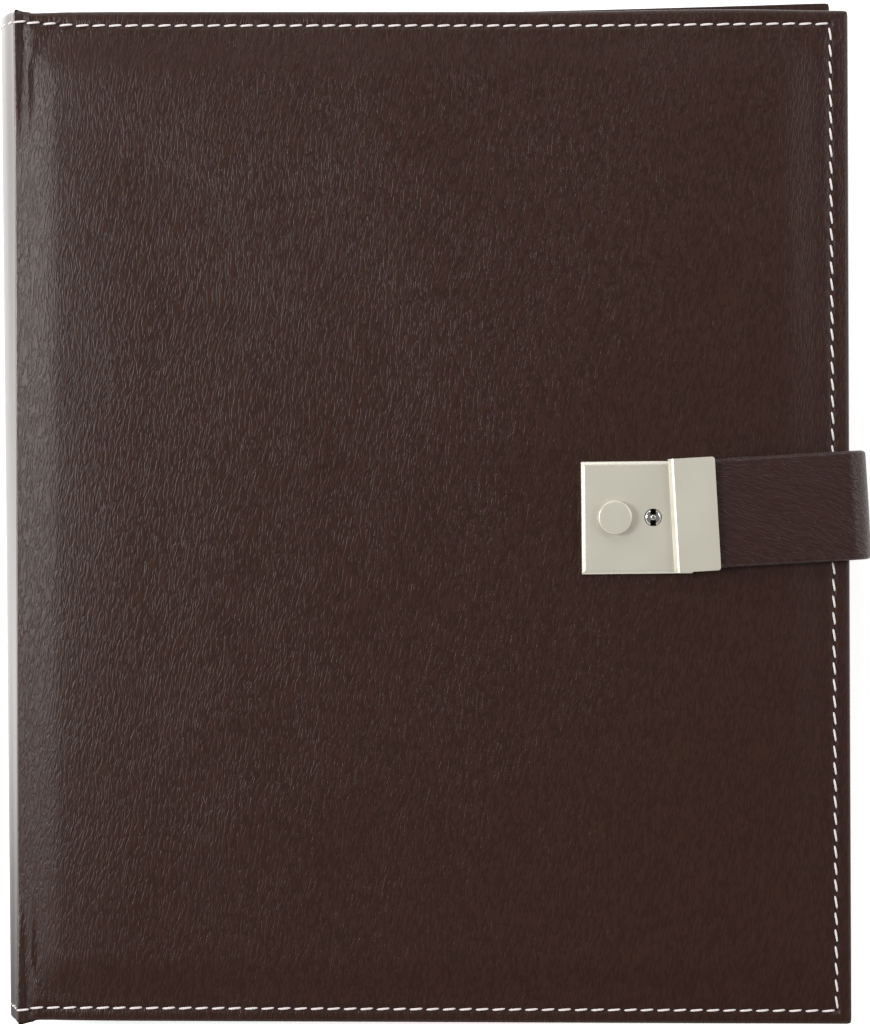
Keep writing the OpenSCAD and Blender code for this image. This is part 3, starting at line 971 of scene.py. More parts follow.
@dataclass
class Section:
    """Points of a cover's cross-section from the middle of the spine to the fore-edge, outer face up."""

    x: list[float] = field(default_factory=list)
    z: list[float] = field(default_factory=list)
    nx: list[float] = field(default_factory=list)
    nz: list[float] = field(default_factory=list)
    depth: list[float] = field(default_factory=list)
    over: list[float] = field(default_factory=list)
    turn: list[float] = field(default_factory=list)

    def add(
        self,
        x: float,
        z: float,
        depth: float,
        over: float = 0.0,
        turn: float = 1.0,
        inward: Point = (0.0, -1.0),
    ) -> None:
        """Adds one column.

        Args:
            x: place across.
            z: height under the field's top.
            depth: how deep the edge is at head and tail.
            over: how far it stands past the panel at head and tail.
            turn: share of the panel's own turn on the rear cover.
            inward: direction into the cover.
        """
        self.x.append(x)
        self.z.append(z)
        self.nx.append(inward[0])
        self.nz.append(inward[1])
        self.depth.append(depth)
        self.over.append(over)
        self.turn.append(turn)


@dataclass
class Cover:
    """A padded cover with its half of the spine: leathercloth, stitching and lining."""

    side: Side
    x0: float
    x1: float
    half_h: float = 160.0
    drop: float = 1.2
    thick: float = 6.0
    margin: float = 6.5
    margin_ease: float = 0.9
    hinge_start: float = 0.4
    hinge_slope: float = 8.7
    hinge_lift: float = 0.75
    groove_rise: float = 0.32
    groove_end: float = 48.0
    hinge_drop: float = 3.1
    crown: float = 32.0
    margin_fall: float = 0.4
    crown_drop: float = 1.8
    slope: float = 15.0
    roll: float = 1.3
    turn_in: float = 9.0
    corner: float = 0.8
    pitch: float = 5.25
    stitch_in: float = 4.3
    row_clear: float = 2.6
    panel_start: float = 0.35
    start_clear: float = 0.9
    fore_turn: float = 94.5
    stitch_lift: float = 0.02
    lining_in: float = 7.0
    opening: tuple[float, float, float, float] = (46.8, 78.4, 15.5, 33.0)
    row_bow: float = 0.9
    head_dip: float = 0.0
    fore_tuck: float = 0.0
    tail_slant: float = 0.0
    head_reach: float = 0.0
    skew: float = 0.0
    shift: float = 0.0
    row_shift: float = 0.0
    row_slant: float = 0.0
    row_rise: float = 0.0

    @property
    def row_x(self) -> float:
        """Place of the stitch row along the fore-edge."""
        return self.x1 - self.stitch_in

    @property
    def row_y(self) -> float:
        """Place of the stitch rows along head and tail."""
        return self.half_h - self.stitch_in

    @property
    def row_steps(self) -> list[float]:
        """Distances from a stitch row at which the cloth is divided, out to where the edge rolls over."""
        return [-1.9, -1.3, -0.8, -0.4, 0.0, 0.4, 0.8, 1.3, 2.0, self.stitch_in - self.roll]

    def fore_row(self, y: Any) -> Any:
        """Gives the place across of the fore-edge's stitch row, sewn a little aslant."""
        return self.row_x - self.row_shift - self.row_slant * y / self.half_h

    def row_pitch(self, y: Any) -> Any:
        """Gives the stitch length along head or tail, evened out to end at the spine."""
        count = int((self.row_x - self.x0) / self.pitch) + 1
        return self.pitch - (self.row_x + 0.9 - self.fore_row(np.copysign(self.row_y, y))) / count

    @property
    def fore_pitch(self) -> float:
        """Stitch length along the fore-edge, evened out between the corners."""
        return 2 * self.row_y / round(2 * self.row_y / self.pitch)

    def head_row(self, x: Any) -> Any:
        """Gives how far the rows along head and tail bow at the spine and rise at the fore-edge."""
        return self.row_bow * smooth((self.x0 + 16 - x) / 16) + self.row_rise * smooth((x - 40) / 80)

    def place(self, points: np.ndarray, turn: np.ndarray) -> np.ndarray:
        """Brings points from the cover's own frame to the object's.

        Args:
            points: rows by columns by 3, outer face up, field top at 0.
            turn: share of the panel's own turn for each column.

        Returns:
            The placed points.
        """
        x, y, z = points[..., 0], points[..., 1], points[..., 2]
        if self.side is Side.FRONT:
            return np.stack([x, y, z + FRAME.closed], -1)
        y, z = -y, -z
        a = math.radians(self.skew)
        dx = x - FRAME.groove_x
        sx = FRAME.groove_x + dx * math.cos(a) - y * math.sin(a)
        sy = self.shift + dx * math.sin(a) + y * math.cos(a)
        return np.stack([x + (sx - x) * turn, y + (sy - y) * turn, z], -1)

    def spine_columns(self, section: Section) -> None:
        """Adds the spine's bulge up to its shoulder.

        Args:
            section: the section that is added to.
        """
        for i in range(17):
            t = i / 16
            at, out = FRAME.spine_point(t)
            near = float(smooth((t - 0.7) / 0.3))
            depth = (FRAME.spine_in - at.x) * (1 - near) + 1.2 * near
            inward = Vector((1.0, 0.0, 0.0)).lerp(-out, near).normalized()
            section.add(at.x, at.z - FRAME.closed, depth, FRAME.spine_over, 0.0, (inward.x, inward.z))

    def groove_columns(self, section: Section) -> None:
        """Adds the shoulder's fold, the hinge groove and the way up to the panel.

        Args:
            section: the section that is added to.
        """
        g = FRAME.groove_x
        fold = [(-3.2, -1.85), (-2.95, -1.75), (-2.65, -1.75), (-2.4, -1.9), (-2.2, -2.15), (-2.0, -2.45)]
        dip = [(-1.75, -2.75), (-1.45, -3.0), (-1.1, -3.1), (-0.6, -3.12), (-0.1, -3.08), (0.6, -2.85)]
        dip.append((1.4, -2.5))
        for k, (dx, z) in enumerate(fold + dip):
            over = 1.2 * FRAME.spine_over * float(smooth(1.25 - k / 12))
            section.add(g + dx, z, 1.2, over, 0.0)
        gap = self.x0 - (g + 1.4)
        steps = max(0, int(gap / 0.6))
        for k in range(1, steps):
            section.add(g + 1.4 + gap * k / steps, -2.4, 1.4, 0.0, k / steps)

    def section(self) -> tuple[Section, int, int]:
        """Lists all columns of the leathercloth.

        Returns:
            The section, the panel's first column and the number of columns before the fore-edge turns over.
        """
        section = Section()
        self.spine_columns(section)
        self.groove_columns(section)
        first = len(section.x)
        step = self.pitch / 4
        count = int((self.row_x - self.row_clear - self.x0 - self.start_clear) / step)
        inner = [self.row_x - self.row_clear - k * step for k in range(count, -1, -1)]
        start = [self.x0 + self.panel_start]
        for x in start + inner + [self.row_x + d for d in self.row_steps]:
            section.add(x, -self.drop, 2.4 + 2.4 * float(smooth((x - self.x0) / 1.5)))
        return section, first, len(section.x)

    def rows(self) -> list[float]:
        """Lists the rows between the two rolled edges at tail and head.

        Returns:
            Places along, from tail to head.
        """
        step = self.pitch / 4
        top = self.row_y - self.row_clear
        count = int(2 * top / step)
        inner = [-count * step / 2 + k * step for k in range(count + 1)]
        high = [self.row_y + d for d in self.row_steps]
        return [-y for y in reversed(high)] + inner + high

    def edge_steps(self) -> list[tuple[float, float]]:
        """Lists the steps of a turned-over edge.

        Returns:
            For each step, the way outward from where the roll starts and the share of the depth.
        """
        full = self.thick - self.drop
        steps = []
        for k in range(1, 6):
            a = math.pi / 2 * k / 5
            steps.append((self.roll * math.sin(a), self.roll * (1 - math.cos(a)) / full))
        low = 0.5
        for share in (0.4, 0.6, 0.8):
            steps.append((self.roll + 0.12 * math.sin(share * math.pi), share))
        for k in range(1, 4):
            a = math.pi / 2 * k / 3
            steps.append((self.roll - low * (1 - math.cos(a)), 1 - low / full * (1 - math.sin(a))))
        for share in (0.35, 0.7, 1.0):
            steps.append((self.roll - low - self.turn_in * share, 1.0))
        return steps

    def relief(self, x: np.ndarray, y: np.ndarray) -> np.ndarray:
        """Gives the height of the padded panel over its margin, with the pull of the stitches.

        Args:
            x: places across.
            y: places along.

        Returns:
            Heights in millimetres, 0 on the margin.
        """
        w = self.slope
        a = np.clip(1 - (x - self.x0 - self.hinge_start) / self.hinge_slope, 0, 1)
        far = np.clip(1 - (x - self.x0 - self.hinge_start) / self.crown, 0, 1)
        b = np.clip(1 - (self.fore_row(y) + self.stitch_in - self.margin + self.margin_ease - x) / w, 0, 1)
        c = np.clip(1 - (self.half_h - self.margin + self.margin_ease - np.abs(y)) / w, 0, 1)
        hinge_drop = self.hinge_drop - self.hinge_lift * smooth(1.5 * c)
        dip = (hinge_drop - self.crown_drop) * a**1.5 + self.crown_drop * far * far
        field_up = self.drop * smooth(1 - np.sqrt(b**2 + c**2)) - dip
        # slow waves of the padding
        sway = 0.07 * np.sin(x / 23 + y / 61 + 1.0) + 0.06 * np.sin(y / 29 - x / 47)
        sway = sway + 0.05 * np.sin(x / 11 + y / 17)
        height = np.maximum(field_up, self.drop - hinge_drop) + sway * smooth(field_up / self.drop)
        past_row = (np.abs(y) - self.row_y) / (self.half_h - self.row_y)
        past_row = np.maximum(past_row, (x - self.fore_row(y)) / (self.x1 - self.fore_row(y)))
        height = height - self.margin_fall * np.clip(past_row, 0, 1) ** 1.5
        across = np.abs(np.abs(y) - self.row_y - self.head_row(x) * (y > 0))
        turns = (self.fore_row(y) - x) / self.row_pitch(y)
        phase = np.abs(turns - np.rint(turns)) * self.pitch
        height = height - self.pull(across, phase) * smooth(1 + turns * self.pitch / 1.5)
        across = np.abs(x - self.fore_row(y))
        turns = (y + self.row_y) / self.fore_pitch
        phase = np.abs(turns - np.rint(turns)) * self.pitch
        return height - self.pull(across, phase) * smooth(1 + (self.row_y - np.abs(y)) / 1.5)

    @staticmethod
    def pull(across: np.ndarray, phase: np.ndarray) -> np.ndarray:
        """Gives the depth of a stitch line's channel and holes.

        Args:
            across: distance from the line.
            phase: distance along the line from the nearest hole.

        Returns:
            Depths in millimetres.
        """
        channel = 0.28 * np.exp(-(across**2))
        holes = 0.3 * np.exp(-((across / 0.7) ** 2) - (phase / 0.75) ** 2)
        return channel + holes

    def leather_points(self) -> tuple[np.ndarray, np.ndarray]:
        """Shapes the leathercloth.

        Returns:
            The points in the cover's own frame, and each column's share of the turn.
        """
        section, first, last = self.section()
        edge = self.edge_steps()
        n = len(edge)
        rows = self.rows()
        ys = np.array([rows[0]] * n + rows + [rows[-1]] * n)
        pad = [section.x[-1]] * n
        xs = np.array(section.x + pad)
        ki = np.array([n - i for i in range(n)] + [0] * len(rows) + [i + 1 for i in range(n)])
        kj = np.array([0] * last + [i + 1 for i in range(n)])
        out = np.array([0.0] + [e[0] for e in edge])
        share = np.array([0.0] + [e[1] for e in edge])
        x, y = np.meshgrid(xs, ys)
        k = np.maximum(*np.meshgrid(kj, ki))
        side_j, side_i = np.meshgrid(kj > 0, ki > 0)

        def column(values: list[float]) -> np.ndarray:
            """Spreads one value per column over the turned-over edge too."""
            return np.array(values + [values[-1]] * n)[None, :]

        base = column(section.z)
        ends = smooth((np.abs(y) - self.half_h + self.groove_end) / self.groove_end)
        is_panel = (np.arange(len(xs)) >= first)[None, :]
        # the groove is pressed in near head and tail; between them the cloth runs straight up to the panel
        level = -self.hinge_drop - self.groove_rise * (self.x0 + self.hinge_start - x)
        swell = (base + FRAME.closed / 2) * (1 + FRAME.spine_swell * ends) - FRAME.closed / 2
        folded = np.where(x < FRAME.shoulder_x + 0.05, swell, level + (base - level) * ends)
        z = np.where(is_panel, base + self.relief(x, y), folded)
        head = y if self.side is Side.FRONT else -y
        x = x - FRAME.spine_flare * head / self.half_h * smooth((FRAME.shoulder_x - x) / 3.0)
        depth = column(section.depth)
        room = np.minimum(1.0, depth / 3.0)
        y = y * (1 + column(section.over) / self.half_h)
        reach = out[k]
        reach = np.where(reach > 0, reach * np.where(share[k] < 0.5, room, 1.0), reach)
        x = np.where(side_j, xs[-1] + reach, np.minimum(x, np.where(side_i, xs[-1] + reach, np.inf)))
        limit = np.abs(ys[0]) * (1 + column(section.over) / self.half_h)
        tall = np.where(side_i, limit + reach, np.minimum(np.abs(y), np.where(side_j, limit + reach, np.inf)))
        y = np.sign(y) * tall
        sink = share[k] * depth
        x = x + column(section.nx) * sink
        x = np.where(xs[None, :] < FRAME.shoulder_x + 0.05, np.minimum(x, FRAME.spine_in), x)
        z = z + column(section.nz) * sink
        # round the two free corners in plan
        cx, cy = self.x1 - self.corner, self.half_h - self.corner
        dx, dy = x - cx, np.abs(y) - cy
        near = (dx > 0) & (dy > 0)
        scale = np.where(near, np.maximum(dx, dy) / np.maximum(np.hypot(dx, dy), 1e-9), 1.0)
        x = np.where(near, cx + dx * scale, x)
        y = np.where(near, np.sign(y) * (cy + dy * scale), y)
        x, y = self.eased(x, y)
        return np.stack([x, y, z], -1), column(section.turn)

    def eased(self, x: np.ndarray, y: np.ndarray) -> tuple[np.ndarray, np.ndarray]:
        """Draws the cover a little out of square, as on a well used one.

        Args:
            x: places across.
            y: places along.

        Returns:
            The eased places.
        """
        head = y if self.side is Side.FRONT else -y
        near = smooth((head - self.half_h + 40) / 25)
        sag = self.head_dip * np.sin(math.pi * np.clip((x + 90) / 216, 0, 1)) * near
        tuck = self.fore_tuck * smooth((head - 70) / 90) * smooth((x - self.x1 + 40) / 35)
        lean = FRAME.lean * (1.0 if self.side is Side.FRONT else smooth((self.x0 - x) / 6))
        slant = self.tail_slant * x / self.x1 * smooth((x - self.x0 + 3) / 6)
        slant = slant * np.clip(0.5 - head / 320, 0, 1)
        # the turn-in at the head is cut wider towards the fore-edge
        wide = 0.25 + 0.75 * smooth((x - 30) / 60) - 0.4 * smooth((x - 96) / 32)
        past_row = np.clip((head - self.row_y) / (self.half_h - self.row_y), 0, 1)
        past_row = past_row * smooth((x - self.x0) / 12)
        sag = sag - self.head_reach * wide * past_row
        return x - tuck - lean * head / self.half_h, y - np.sign(y) * sag - slant

    def bodies(self) -> tuple[str, str]:
        """Names the spine's body and the cover's body."""
        return "spine", "front_cover" if self.side is Side.FRONT else "rear_cover"

    def hang(self, obj: bpy.types.Object) -> None:
        """Bakes a sheet's placement into its mesh.

        Args:
            obj: the sheet.
        """
        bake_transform(obj)

    def under_lock(self, middle: Vector, _: Vector) -> bool:
        """Tells whether a place lies in the opening under the lock plate."""
        low, high, half, bottom = self.opening
        return low < middle.x < high and abs(middle.y) < half and middle.z > bottom

    def build_leather(self) -> None:
        """Builds the padded leathercloth with its half of the spine, open under the lock plate."""
        name = self.side.value
        obj = net(f"{name}_leather", self.place(*self.leather_points()), weld=True)
        if self.side is Side.FRONT:
            delete_faces(obj, self.under_lock)
        soften(obj)
        dress(obj, COVER_LEATHER, SPINE_LEATHER)
        for face in obj.data.polygons:
            at = face.center / MM
            face.material_index = int(at.x + FRAME.lean * at.y / self.half_h < FRAME.shoulder_x + 0.1)
        self.hang(obj)
        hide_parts(f"{name}_skin", f"{name}_padding", f"{name}_hinge")
        if self.side is Side.FRONT:
            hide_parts("spine_skin")
        report(obj)

    def stitch_places(self) -> list[Matrix]:
        """Lists where the stitches of this cover lie.

        Returns:
            One placement per stitch, in metres.
        """
        along = int((self.row_x - self.x0) / self.pitch) + 1
        up = round(2 * self.row_y / self.pitch)
        spots: list[tuple[float, float, float]] = []
        for s in (-1, 1):
            for i in range(along):
                x = self.fore_row(s * self.row_y) - (i + 0.5) * self.row_pitch(s)
                spots.append((x, s * self.row_y, 0.0))
        for i in range(up):
            y = (i + 0.5 - up / 2) * self.fore_pitch
            spots.append((self.fore_row(y), y, math.radians(self.fore_turn)))
        under = Matrix.Rotation(math.radians(self.skew), 4, "Z") @ Matrix.Rotation(math.pi, 4, "X")
        places = []
        for x, y, angle in spots:
            bow = float(self.head_row(x)) if angle == 0 and y > 0 else 0.0
            lift = -self.drop + self.stitch_lift
            sx, sy = self.eased(np.array(x), np.array(y + math.copysign(bow, y)))
            flat = np.array([[[float(sx), float(sy), lift]]])
            at = self.place(flat, np.ones((1, 1)))[0, 0]
            place = Matrix.Translation([float(v) * MM for v in at])
            if self.side is Side.REAR:
                place = place @ under
            places.append(place @ Matrix.Rotation(angle, 4, "Z"))
        return places

    def build_stitching(self) -> None:
        """Builds the white stitches of this cover."""
        obj = STITCH.sew(f"{self.side.value}_stitches", self.stitch_places())
        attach(obj, self.bodies()[1])
        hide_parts(f"{self.side.value}_stitching")
        report(obj)

    def build_lining(self) -> None:
        """Builds the lining cloth with the half that crosses the hinge and backs the spine."""
        name = self.side.value
        section = Section()
        g, mid = FRAME.groove_x, -FRAME.closed / 2
        for i in range(10):
            t = i / 9
            section.add(g - 0.15 - 0.45 * math.cos(math.pi / 2 * t), mid * (1 - t) - 4.2 * t, 0, 0, 0.0)
        for dx, z in ((0.1, -4.1), (0.5, -4.2), (0.9, -4.5)):
            section.add(g + dx, z, 0, 0, 0.0)
        for dx, z in ((0.15, -5.0), (0.35, -5.5), (0.7, -5.9), (1.3, -6.08)):
            section.add(self.x0 + dx, z, 0)
        end = self.x1 - self.lining_in
        count = 60
        for k in range(1, count + 1):
            section.add(self.x0 + 1.3 + (end - self.x0 - 1.3) * k / count, -6.1, 0)
        half = self.half_h - self.lining_in
        ys = np.linspace(-half, half, 74)
        x, y = np.meshgrid(np.array(section.x), ys)
        z = np.broadcast_to(np.array(section.z)[None, :], x.shape)
        z = z - 0.05 * (1 + np.sin(x / 13 + y / 19)) * (x > self.x0 + 3)
        points = self.place(np.stack([x, y, z], -1), np.array(section.turn)[None, :])
        obj = net(f"{name}_lining_cloth", points[:, ::-1])
        soften(obj)
        dress(obj, LINING)
        self.hang(obj)
        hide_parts(f"{name}_lining")
        if self.side is Side.FRONT:
            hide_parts("spine_lining")
        report(obj)

    def build(self) -> None:
        """Builds and dresses the whole cover."""
        self.build_leather()
        self.build_stitching()
        self.build_lining()
        dress_nodes(BOARD, f"{self.side.value}_board")


@dataclass
class Spine:
    """The spine's board and the stitches that carry the rows on over it."""

    head_y: float = 157.0
    tail_y: float = -156.0
    pitch: float = 5.25
    count: int = 3
    shoulder_in: float = 1.75
    groove_in: float = 1.7
    board_half: float = 151.0
    board_span: float = 0.86
    board_under: float = 1.0
    board_thick: float = 1.4

    def build_stitching(self) -> None:
        """Builds the stitches at head and tail of the spine."""
        swell = FRAME.spine_swell
        half = math.hypot(FRAME.spine_half * (1 + swell), FRAME.spine_bulge)
        places = []
        for y in (self.tail_y, self.head_y):
            for i in range(-self.count, self.count):
                at, out = FRAME.spine_point((i + 0.5) * self.pitch / half, swell)
                at.x -= FRAME.drift(at.x, y)
                at.y = y
                up = Matrix.Rotation(-math.atan2(-out.x, out.z), 4, "Y")
                places.append(Matrix.Translation(at * MM) @ up)
            for z in (FRAME.closed - self.shoulder_in, self.shoulder_in):
                flip = Matrix.Rotation(0.0 if z > FRAME.closed / 2 else math.pi, 4, "X")
                x = FRAME.groove_x - self.groove_in
                places.append(Matrix.Translation(Vector((x - FRAME.drift(x, y), y, z)) * MM) @ flip)
        obj = STITCH.sew("spine_stitches", places)
        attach(obj, "spine")
        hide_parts("spine_stitching")
        report(obj)

    def build_board(self) -> None:
        """Builds the curved board under the spine's leathercloth."""
        rows = []
        middle = self.board_under + self.board_thick / 2
        shares = [float(v) for v in np.linspace(-self.board_span, self.board_span, 19)]
        loop = [(share, -1) for share in shares] + [(share, 1) for share in reversed(shares)]
        for end, half in ((-1, 0.0), (-1, 0.5), (1, 0.5), (1, 0.0)):
            row = []
            y = end * self.board_half
            for share, side in loop + loop[:1]:
                at, out = FRAME.spine_point(share)
                at -= out * (middle + side * half * self.board_thick)
                row.append((at.x - FRAME.drift(at.x, y), y, at.z))
            rows.append(row)
        obj = net("spine_stiffener", np.array(rows), weld=True)
        face_outwards(obj)
        soften(obj, 40)
        dress(obj, BOARD)
        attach(obj, "spine")
        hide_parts("spine_board")
        report(obj)

    def build(self) -> None:
        """Builds the spine's own pieces."""
        self.build_stitching()
        self.build_board()


@dataclass
class Strap:
    """The strap that comes out of the rear cover, round the fore-edge and into the hasp."""

    width: float = 34.5
    thick: float = 2.8
    root: float = -26.9
    low_bend: tuple[float, float] = (-2.9, 6.5)
    high_bend: tuple[float, float] = (-4.9, 33.9)
    end: float = -52.6
    edge: float = 1.1
    swing: tuple[float, float] = (10.0, 26.0)

    def path(self) -> list[tuple[float, float, float]]:
        """Lists points along the middle of the strap, with the angle of its outer face.

        Returns:
            Local X, Z and the direction of travel in radians.
        """
        (ax, az), (bx, bz) = self.low_bend, self.high_bend
        ra, rb = -ax, -bx
        points = [(self.root + (ax - self.root) * i / 10, az - ra, 0.0) for i in range(10)]
        for i in range(13):
            a = math.pi / 2 * i / 12
            points.append((ax + ra * math.sin(a), az - ra * math.cos(a), a))
        for i in range(1, 24):
            points.append((0.0, az + (bz - az) * i / 24, math.pi / 2))
        for i in range(17):
            a = math.pi / 2 * i / 16
            points.append((bx + rb * math.cos(a), bz + rb * math.sin(a), math.pi / 2 + a))
        points += [(bx + (self.end - bx) * i / 40, bz + rb, math.pi) for i in range(1, 41)]
        return points

    def profile(self) -> list[tuple[float, float]]:
        """Lists the cross-section: across the width and out from the middle.

        Returns:
            Points once round, the first one repeated at the end.
        """
        w, t, e = self.width / 2, self.thick / 2, self.edge
        ring = []
        across = [-1, -0.97, -0.9, -0.75, -0.5, -0.25, 0, 0.25, 0.5, 0.75, 0.9, 0.97, 1]
        for u in across:
            ring.append((u * (w - e), t + 0.12 * (1 - u * u)))
        for i in range(1, 6):
            a = math.pi * i / 6
            ring.append((w - e + e * math.sin(a), t * math.cos(a)))
        for u in reversed(across):
            ring.append((u * (w - e), -t))
        for i in range(1, 6):
            a = math.pi * i / 6
            ring.append((-w + e - e * math.sin(a), -t * math.cos(a)))
        return ring + [ring[0]]

    def build(self) -> None:
        """Builds and dresses the strap."""
        ring = self.profile()
        points = []
        for x, z, a in self.path():
            out = Vector((math.sin(a), -math.cos(a)))
            points.append([(x + out.x * d, y, z + out.y * d) for y, d in ring])
        obj = net("strap_leather", np.array(points), weld=True)
        with editing(obj):
            bpy.ops.mesh.select_all(action="DESELECT")
            bpy.ops.mesh.select_mode(type="EDGE")
            bpy.ops.mesh.select_non_manifold()
            bpy.ops.mesh.edge_face_add()
        face_outwards(obj)
        obj.data.transform(FRAME.strap_matrix())
        soften(obj, 60)
        dress(obj, STRAP_LEATHER)
        x, y = (v * MM for v in FRAME.strap_origin)
        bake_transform(obj)
        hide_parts("strap_root", "strap_bend", "strap_band")
        report(obj)
        dress_nodes(SHEET_STEEL, "strap_rivets")


@dataclass
class Lock:
    """Lock plate, press button and key plug on the front cover."""

    x0: float = 44.6
    x1: float = 79.4
    half_h: float = 17.7
    z0: float = 36.0
    z1: float = 39.2
    wall: float = 0.8
    chamfer_w: float = 1.15
    chamfer_h: float = 0.5
    button_x: float = 55.0
    button_r: float = 5.3
    button_top: float = 41.8
    bar_half: float = 12.2
    bar_z: tuple[float, float] = (37.2, 38.1)
    wedge_z: float = 33.92
    plug_x: float = 67.1
    plug_r: float = 2.7
    plug_top: float = 39.5
    plug_foot: float = 34.82
    keyway_half: float = 0.9
    keyway_in: float = 0.85
    keyway_depth: float = 2.6
    hook_x: float = -59.9
    hook_y: float = 10.0
    askew: float = 0.6
    spring_y: float = 9.5
    spring_r: float = 2.1
    spring_z0: float = 31.52
    spring_z1: float = 37.16
    spring_wire: float = 0.35
    spring_turns: int = 5
    press: float = 2.0

    def build_plate(self) -> None:
        """Builds the pressed plate, set slightly askew, with its bevels and openings."""
        rim = self.z1 - self.chamfer_h
        foot = self.z0 + 0.02
        plate = block("lock_plate_shell", (self.x0, -self.half_h, foot), (self.x1, self.half_h, rim))
        with editing(plate):
            choose(plate, Pick.FACES, lambda m, n: n.z > 0.99)
            bpy.ops.mesh.inset(thickness=self.chamfer_w * MM)
            bpy.ops.transform.translate(value=(0, 0, self.chamfer_h * MM))
        bevel(plate, 0.32, 4, lambda m, d: m.z > rim - 0.01)
        wall = self.wall
        inside = block(
            "inside",
            (self.x0 + wall, -self.half_h + wall, self.z0 - 1),
            (self.x1 - wall, self.half_h - wall, self.z1 - wall),
        )
        carve(plate, inside)
        pivot = Matrix.Translation((self.plug_x * MM, 0, 0))
        plate.data.transform(pivot @ Matrix.Rotation(math.radians(self.askew), 4, "Z") @ pivot.inverted())
        holes = [
            rod("button_hole", self.button_r + 0.04, self.z0, self.z1 + 5, (self.button_x, 0)),
            rod("plug_hole", self.plug_r + 0.08, self.z0, self.z1 + 5, (self.plug_x, 0)),
        ]
        for s in (-1, 1):
            slot = block(
                "slot",
                (self.hook_x - 1.0, s * self.hook_y - 3.1, self.z0),
                (self.hook_x + 2.8, s * self.hook_y + 3.1, self.z1 + 5),
            )
            slot.data.transform(FRAME.strap_matrix())
            holes.append(slot)
        carve(plate, *holes)
        soften(plate, 35)
        dress(plate, SATIN_NICKEL)
        hand_over(plate, "front_cover", "satin_nickel", "lock_plate")

    def build_button(self) -> None:
        """Builds the button with the bar and wedge under it."""
        x, r, top = self.button_x, self.button_r, self.button_top
        cap = rod("cap", r, self.bar_z[0], top, (x, 0), 96)
        bevel(cap, 0.5, 4, lambda m, d: m.z > top - 0.01)
        with editing(cap):
            choose(cap, Pick.FACES, lambda m, n: n.z > 0.99)
            bpy.ops.mesh.inset(thickness=0.9 * MM)
            bpy.ops.mesh.inset(thickness=2.4 * MM)
            bpy.ops.transform.translate(value=(0, 0, 0.06 * MM))
        (low, high), half = self.bar_z, self.bar_half
        bar = block("bar", (x - 3, -half, low), (x + 3, half, high))
        bevel(bar, 0.3, 2, lambda m, d: True)
        wedge = block("wedge", (x - 0.78, -2, self.wedge_z), (x + 3.6, 2, 37.3))
        for vertex in wedge.data.vertices:
            if vertex.co.z < 35 * MM and vertex.co.x < x * MM:
                vertex.co.x, vertex.co.z = (x + 2.6) * MM, self.wedge_z * MM
        button = unite("press_button", [cap, bar, wedge])
        soften(button, 35)
        dress(button, SATIN_NICKEL)
        hand_over(button, "button", "satin_nickel", "lock_button")

    def build_plug(self) -> None:
        """Builds the key plug with its keyway, centre post, collar and cam."""
        x, r, top = self.plug_x, self.plug_r, self.plug_top
        barrel = rod("barrel", r, self.plug_foot, top, (x, 0), 64)
        bevel(barrel, 1.0, 5, lambda m, d: m.z > top - 0.01)
        collar = rod("collar", r + 0.7, 37.4, 38.1, (x, 0), 48)
        w, low = self.keyway_half, top - self.keyway_depth
        for piece in (barrel, collar):
            ways = [
                block("keyway", (x - w, y0, low), (x + w, y1, top + 1))
                for y0, y1 in ((-r + 0.05, -self.keyway_in), (self.keyway_in, r - 0.05))
            ]
            carve(piece, *ways)
        dress(barrel, KEY_CHROME, KEYWAY_SHADE)
        # painted shade: the keyway's inner walls take the near-black second finish
        for face in barrel.data.polygons:
            middle = face.center / MM
            inside = abs(middle.x - x) < 0.95 and abs(middle.y) < r
            face.material_index = int(inside and top - 2.7 < middle.z < top - 0.1)
        post = rod("post", 0.8, top - 2.7, top + 0.12, (x, 0), 32)
        bevel(post, 0.3, 3, lambda m, d: m.z > top + 0.1)
        cam = block("cam", (x - 1, 0, self.plug_foot), (x + 1, r + 2.7, 35.62))
        bevel(cam, 0.25, 2, lambda m, d: True)
        for piece in (post, collar, cam):
            dress(piece, KEY_CHROME)
        plug = unite("key_plug_barrel", [barrel, post, collar, cam])
        soften(plug, 35)
        hand_over(plug, "plug", "key_chrome", "key_plug")

    def build_springs(self) -> None:
        """Builds the two coil springs under the button."""
        wire, turns = self.spring_wire, self.spring_turns
        length = self.spring_z1 - self.spring_z0
        coils = []
        for y in (-self.spring_y, self.spring_y):
            bpy.ops.object.select_all(action="DESELECT")
            bpy.ops.mesh.primitive_circle_add(
                vertices=8,
                radius=wire * MM,
                location=(self.button_x * MM, y * MM, (self.spring_z0 + wire) * MM),
                rotation=(math.pi / 2, 0, 0),
            )
            coil = bpy.context.object
            bpy.ops.object.transform_apply(location=False, rotation=True, scale=True)
            with editing(coil):
                bpy.ops.mesh.select_all(action="SELECT")
                bpy.ops.transform.translate(value=((self.spring_r - wire) * MM, 0, 0))
            mod = coil.modifiers.new("coil", "SCREW")
            mod.axis = "Z"
            mod.steps = 16
            mod.iterations = turns
            mod.screw_offset = (length - 2 * wire) / turns * MM
            bpy.ops.object.modifier_apply(modifier=mod.name)
            with editing(coil):
                bpy.ops.mesh.select_all(action="SELECT")
                bpy.ops.mesh.fill_holes(sides=8)
            face_outwards(coil)
            bpy.ops.object.transform_apply(location=True, rotation=True, scale=True)
            coils.append(coil)
        springs = unite("button_coils", coils)
        soften(springs, 50)
        dress(springs, SHEET_STEEL)
        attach(springs, "front_cover")
        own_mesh(springs)
        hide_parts("button_springs")
        report(springs)

    def build(self) -> None:
        """Builds and dresses the lock."""
        self.build_plate()
        self.build_button()
        self.build_plug()
        self.build_springs()
        dress_nodes(SHEET_STEEL, "lock_case", "lock_backing", "lock_rivets", "lock_bolt")


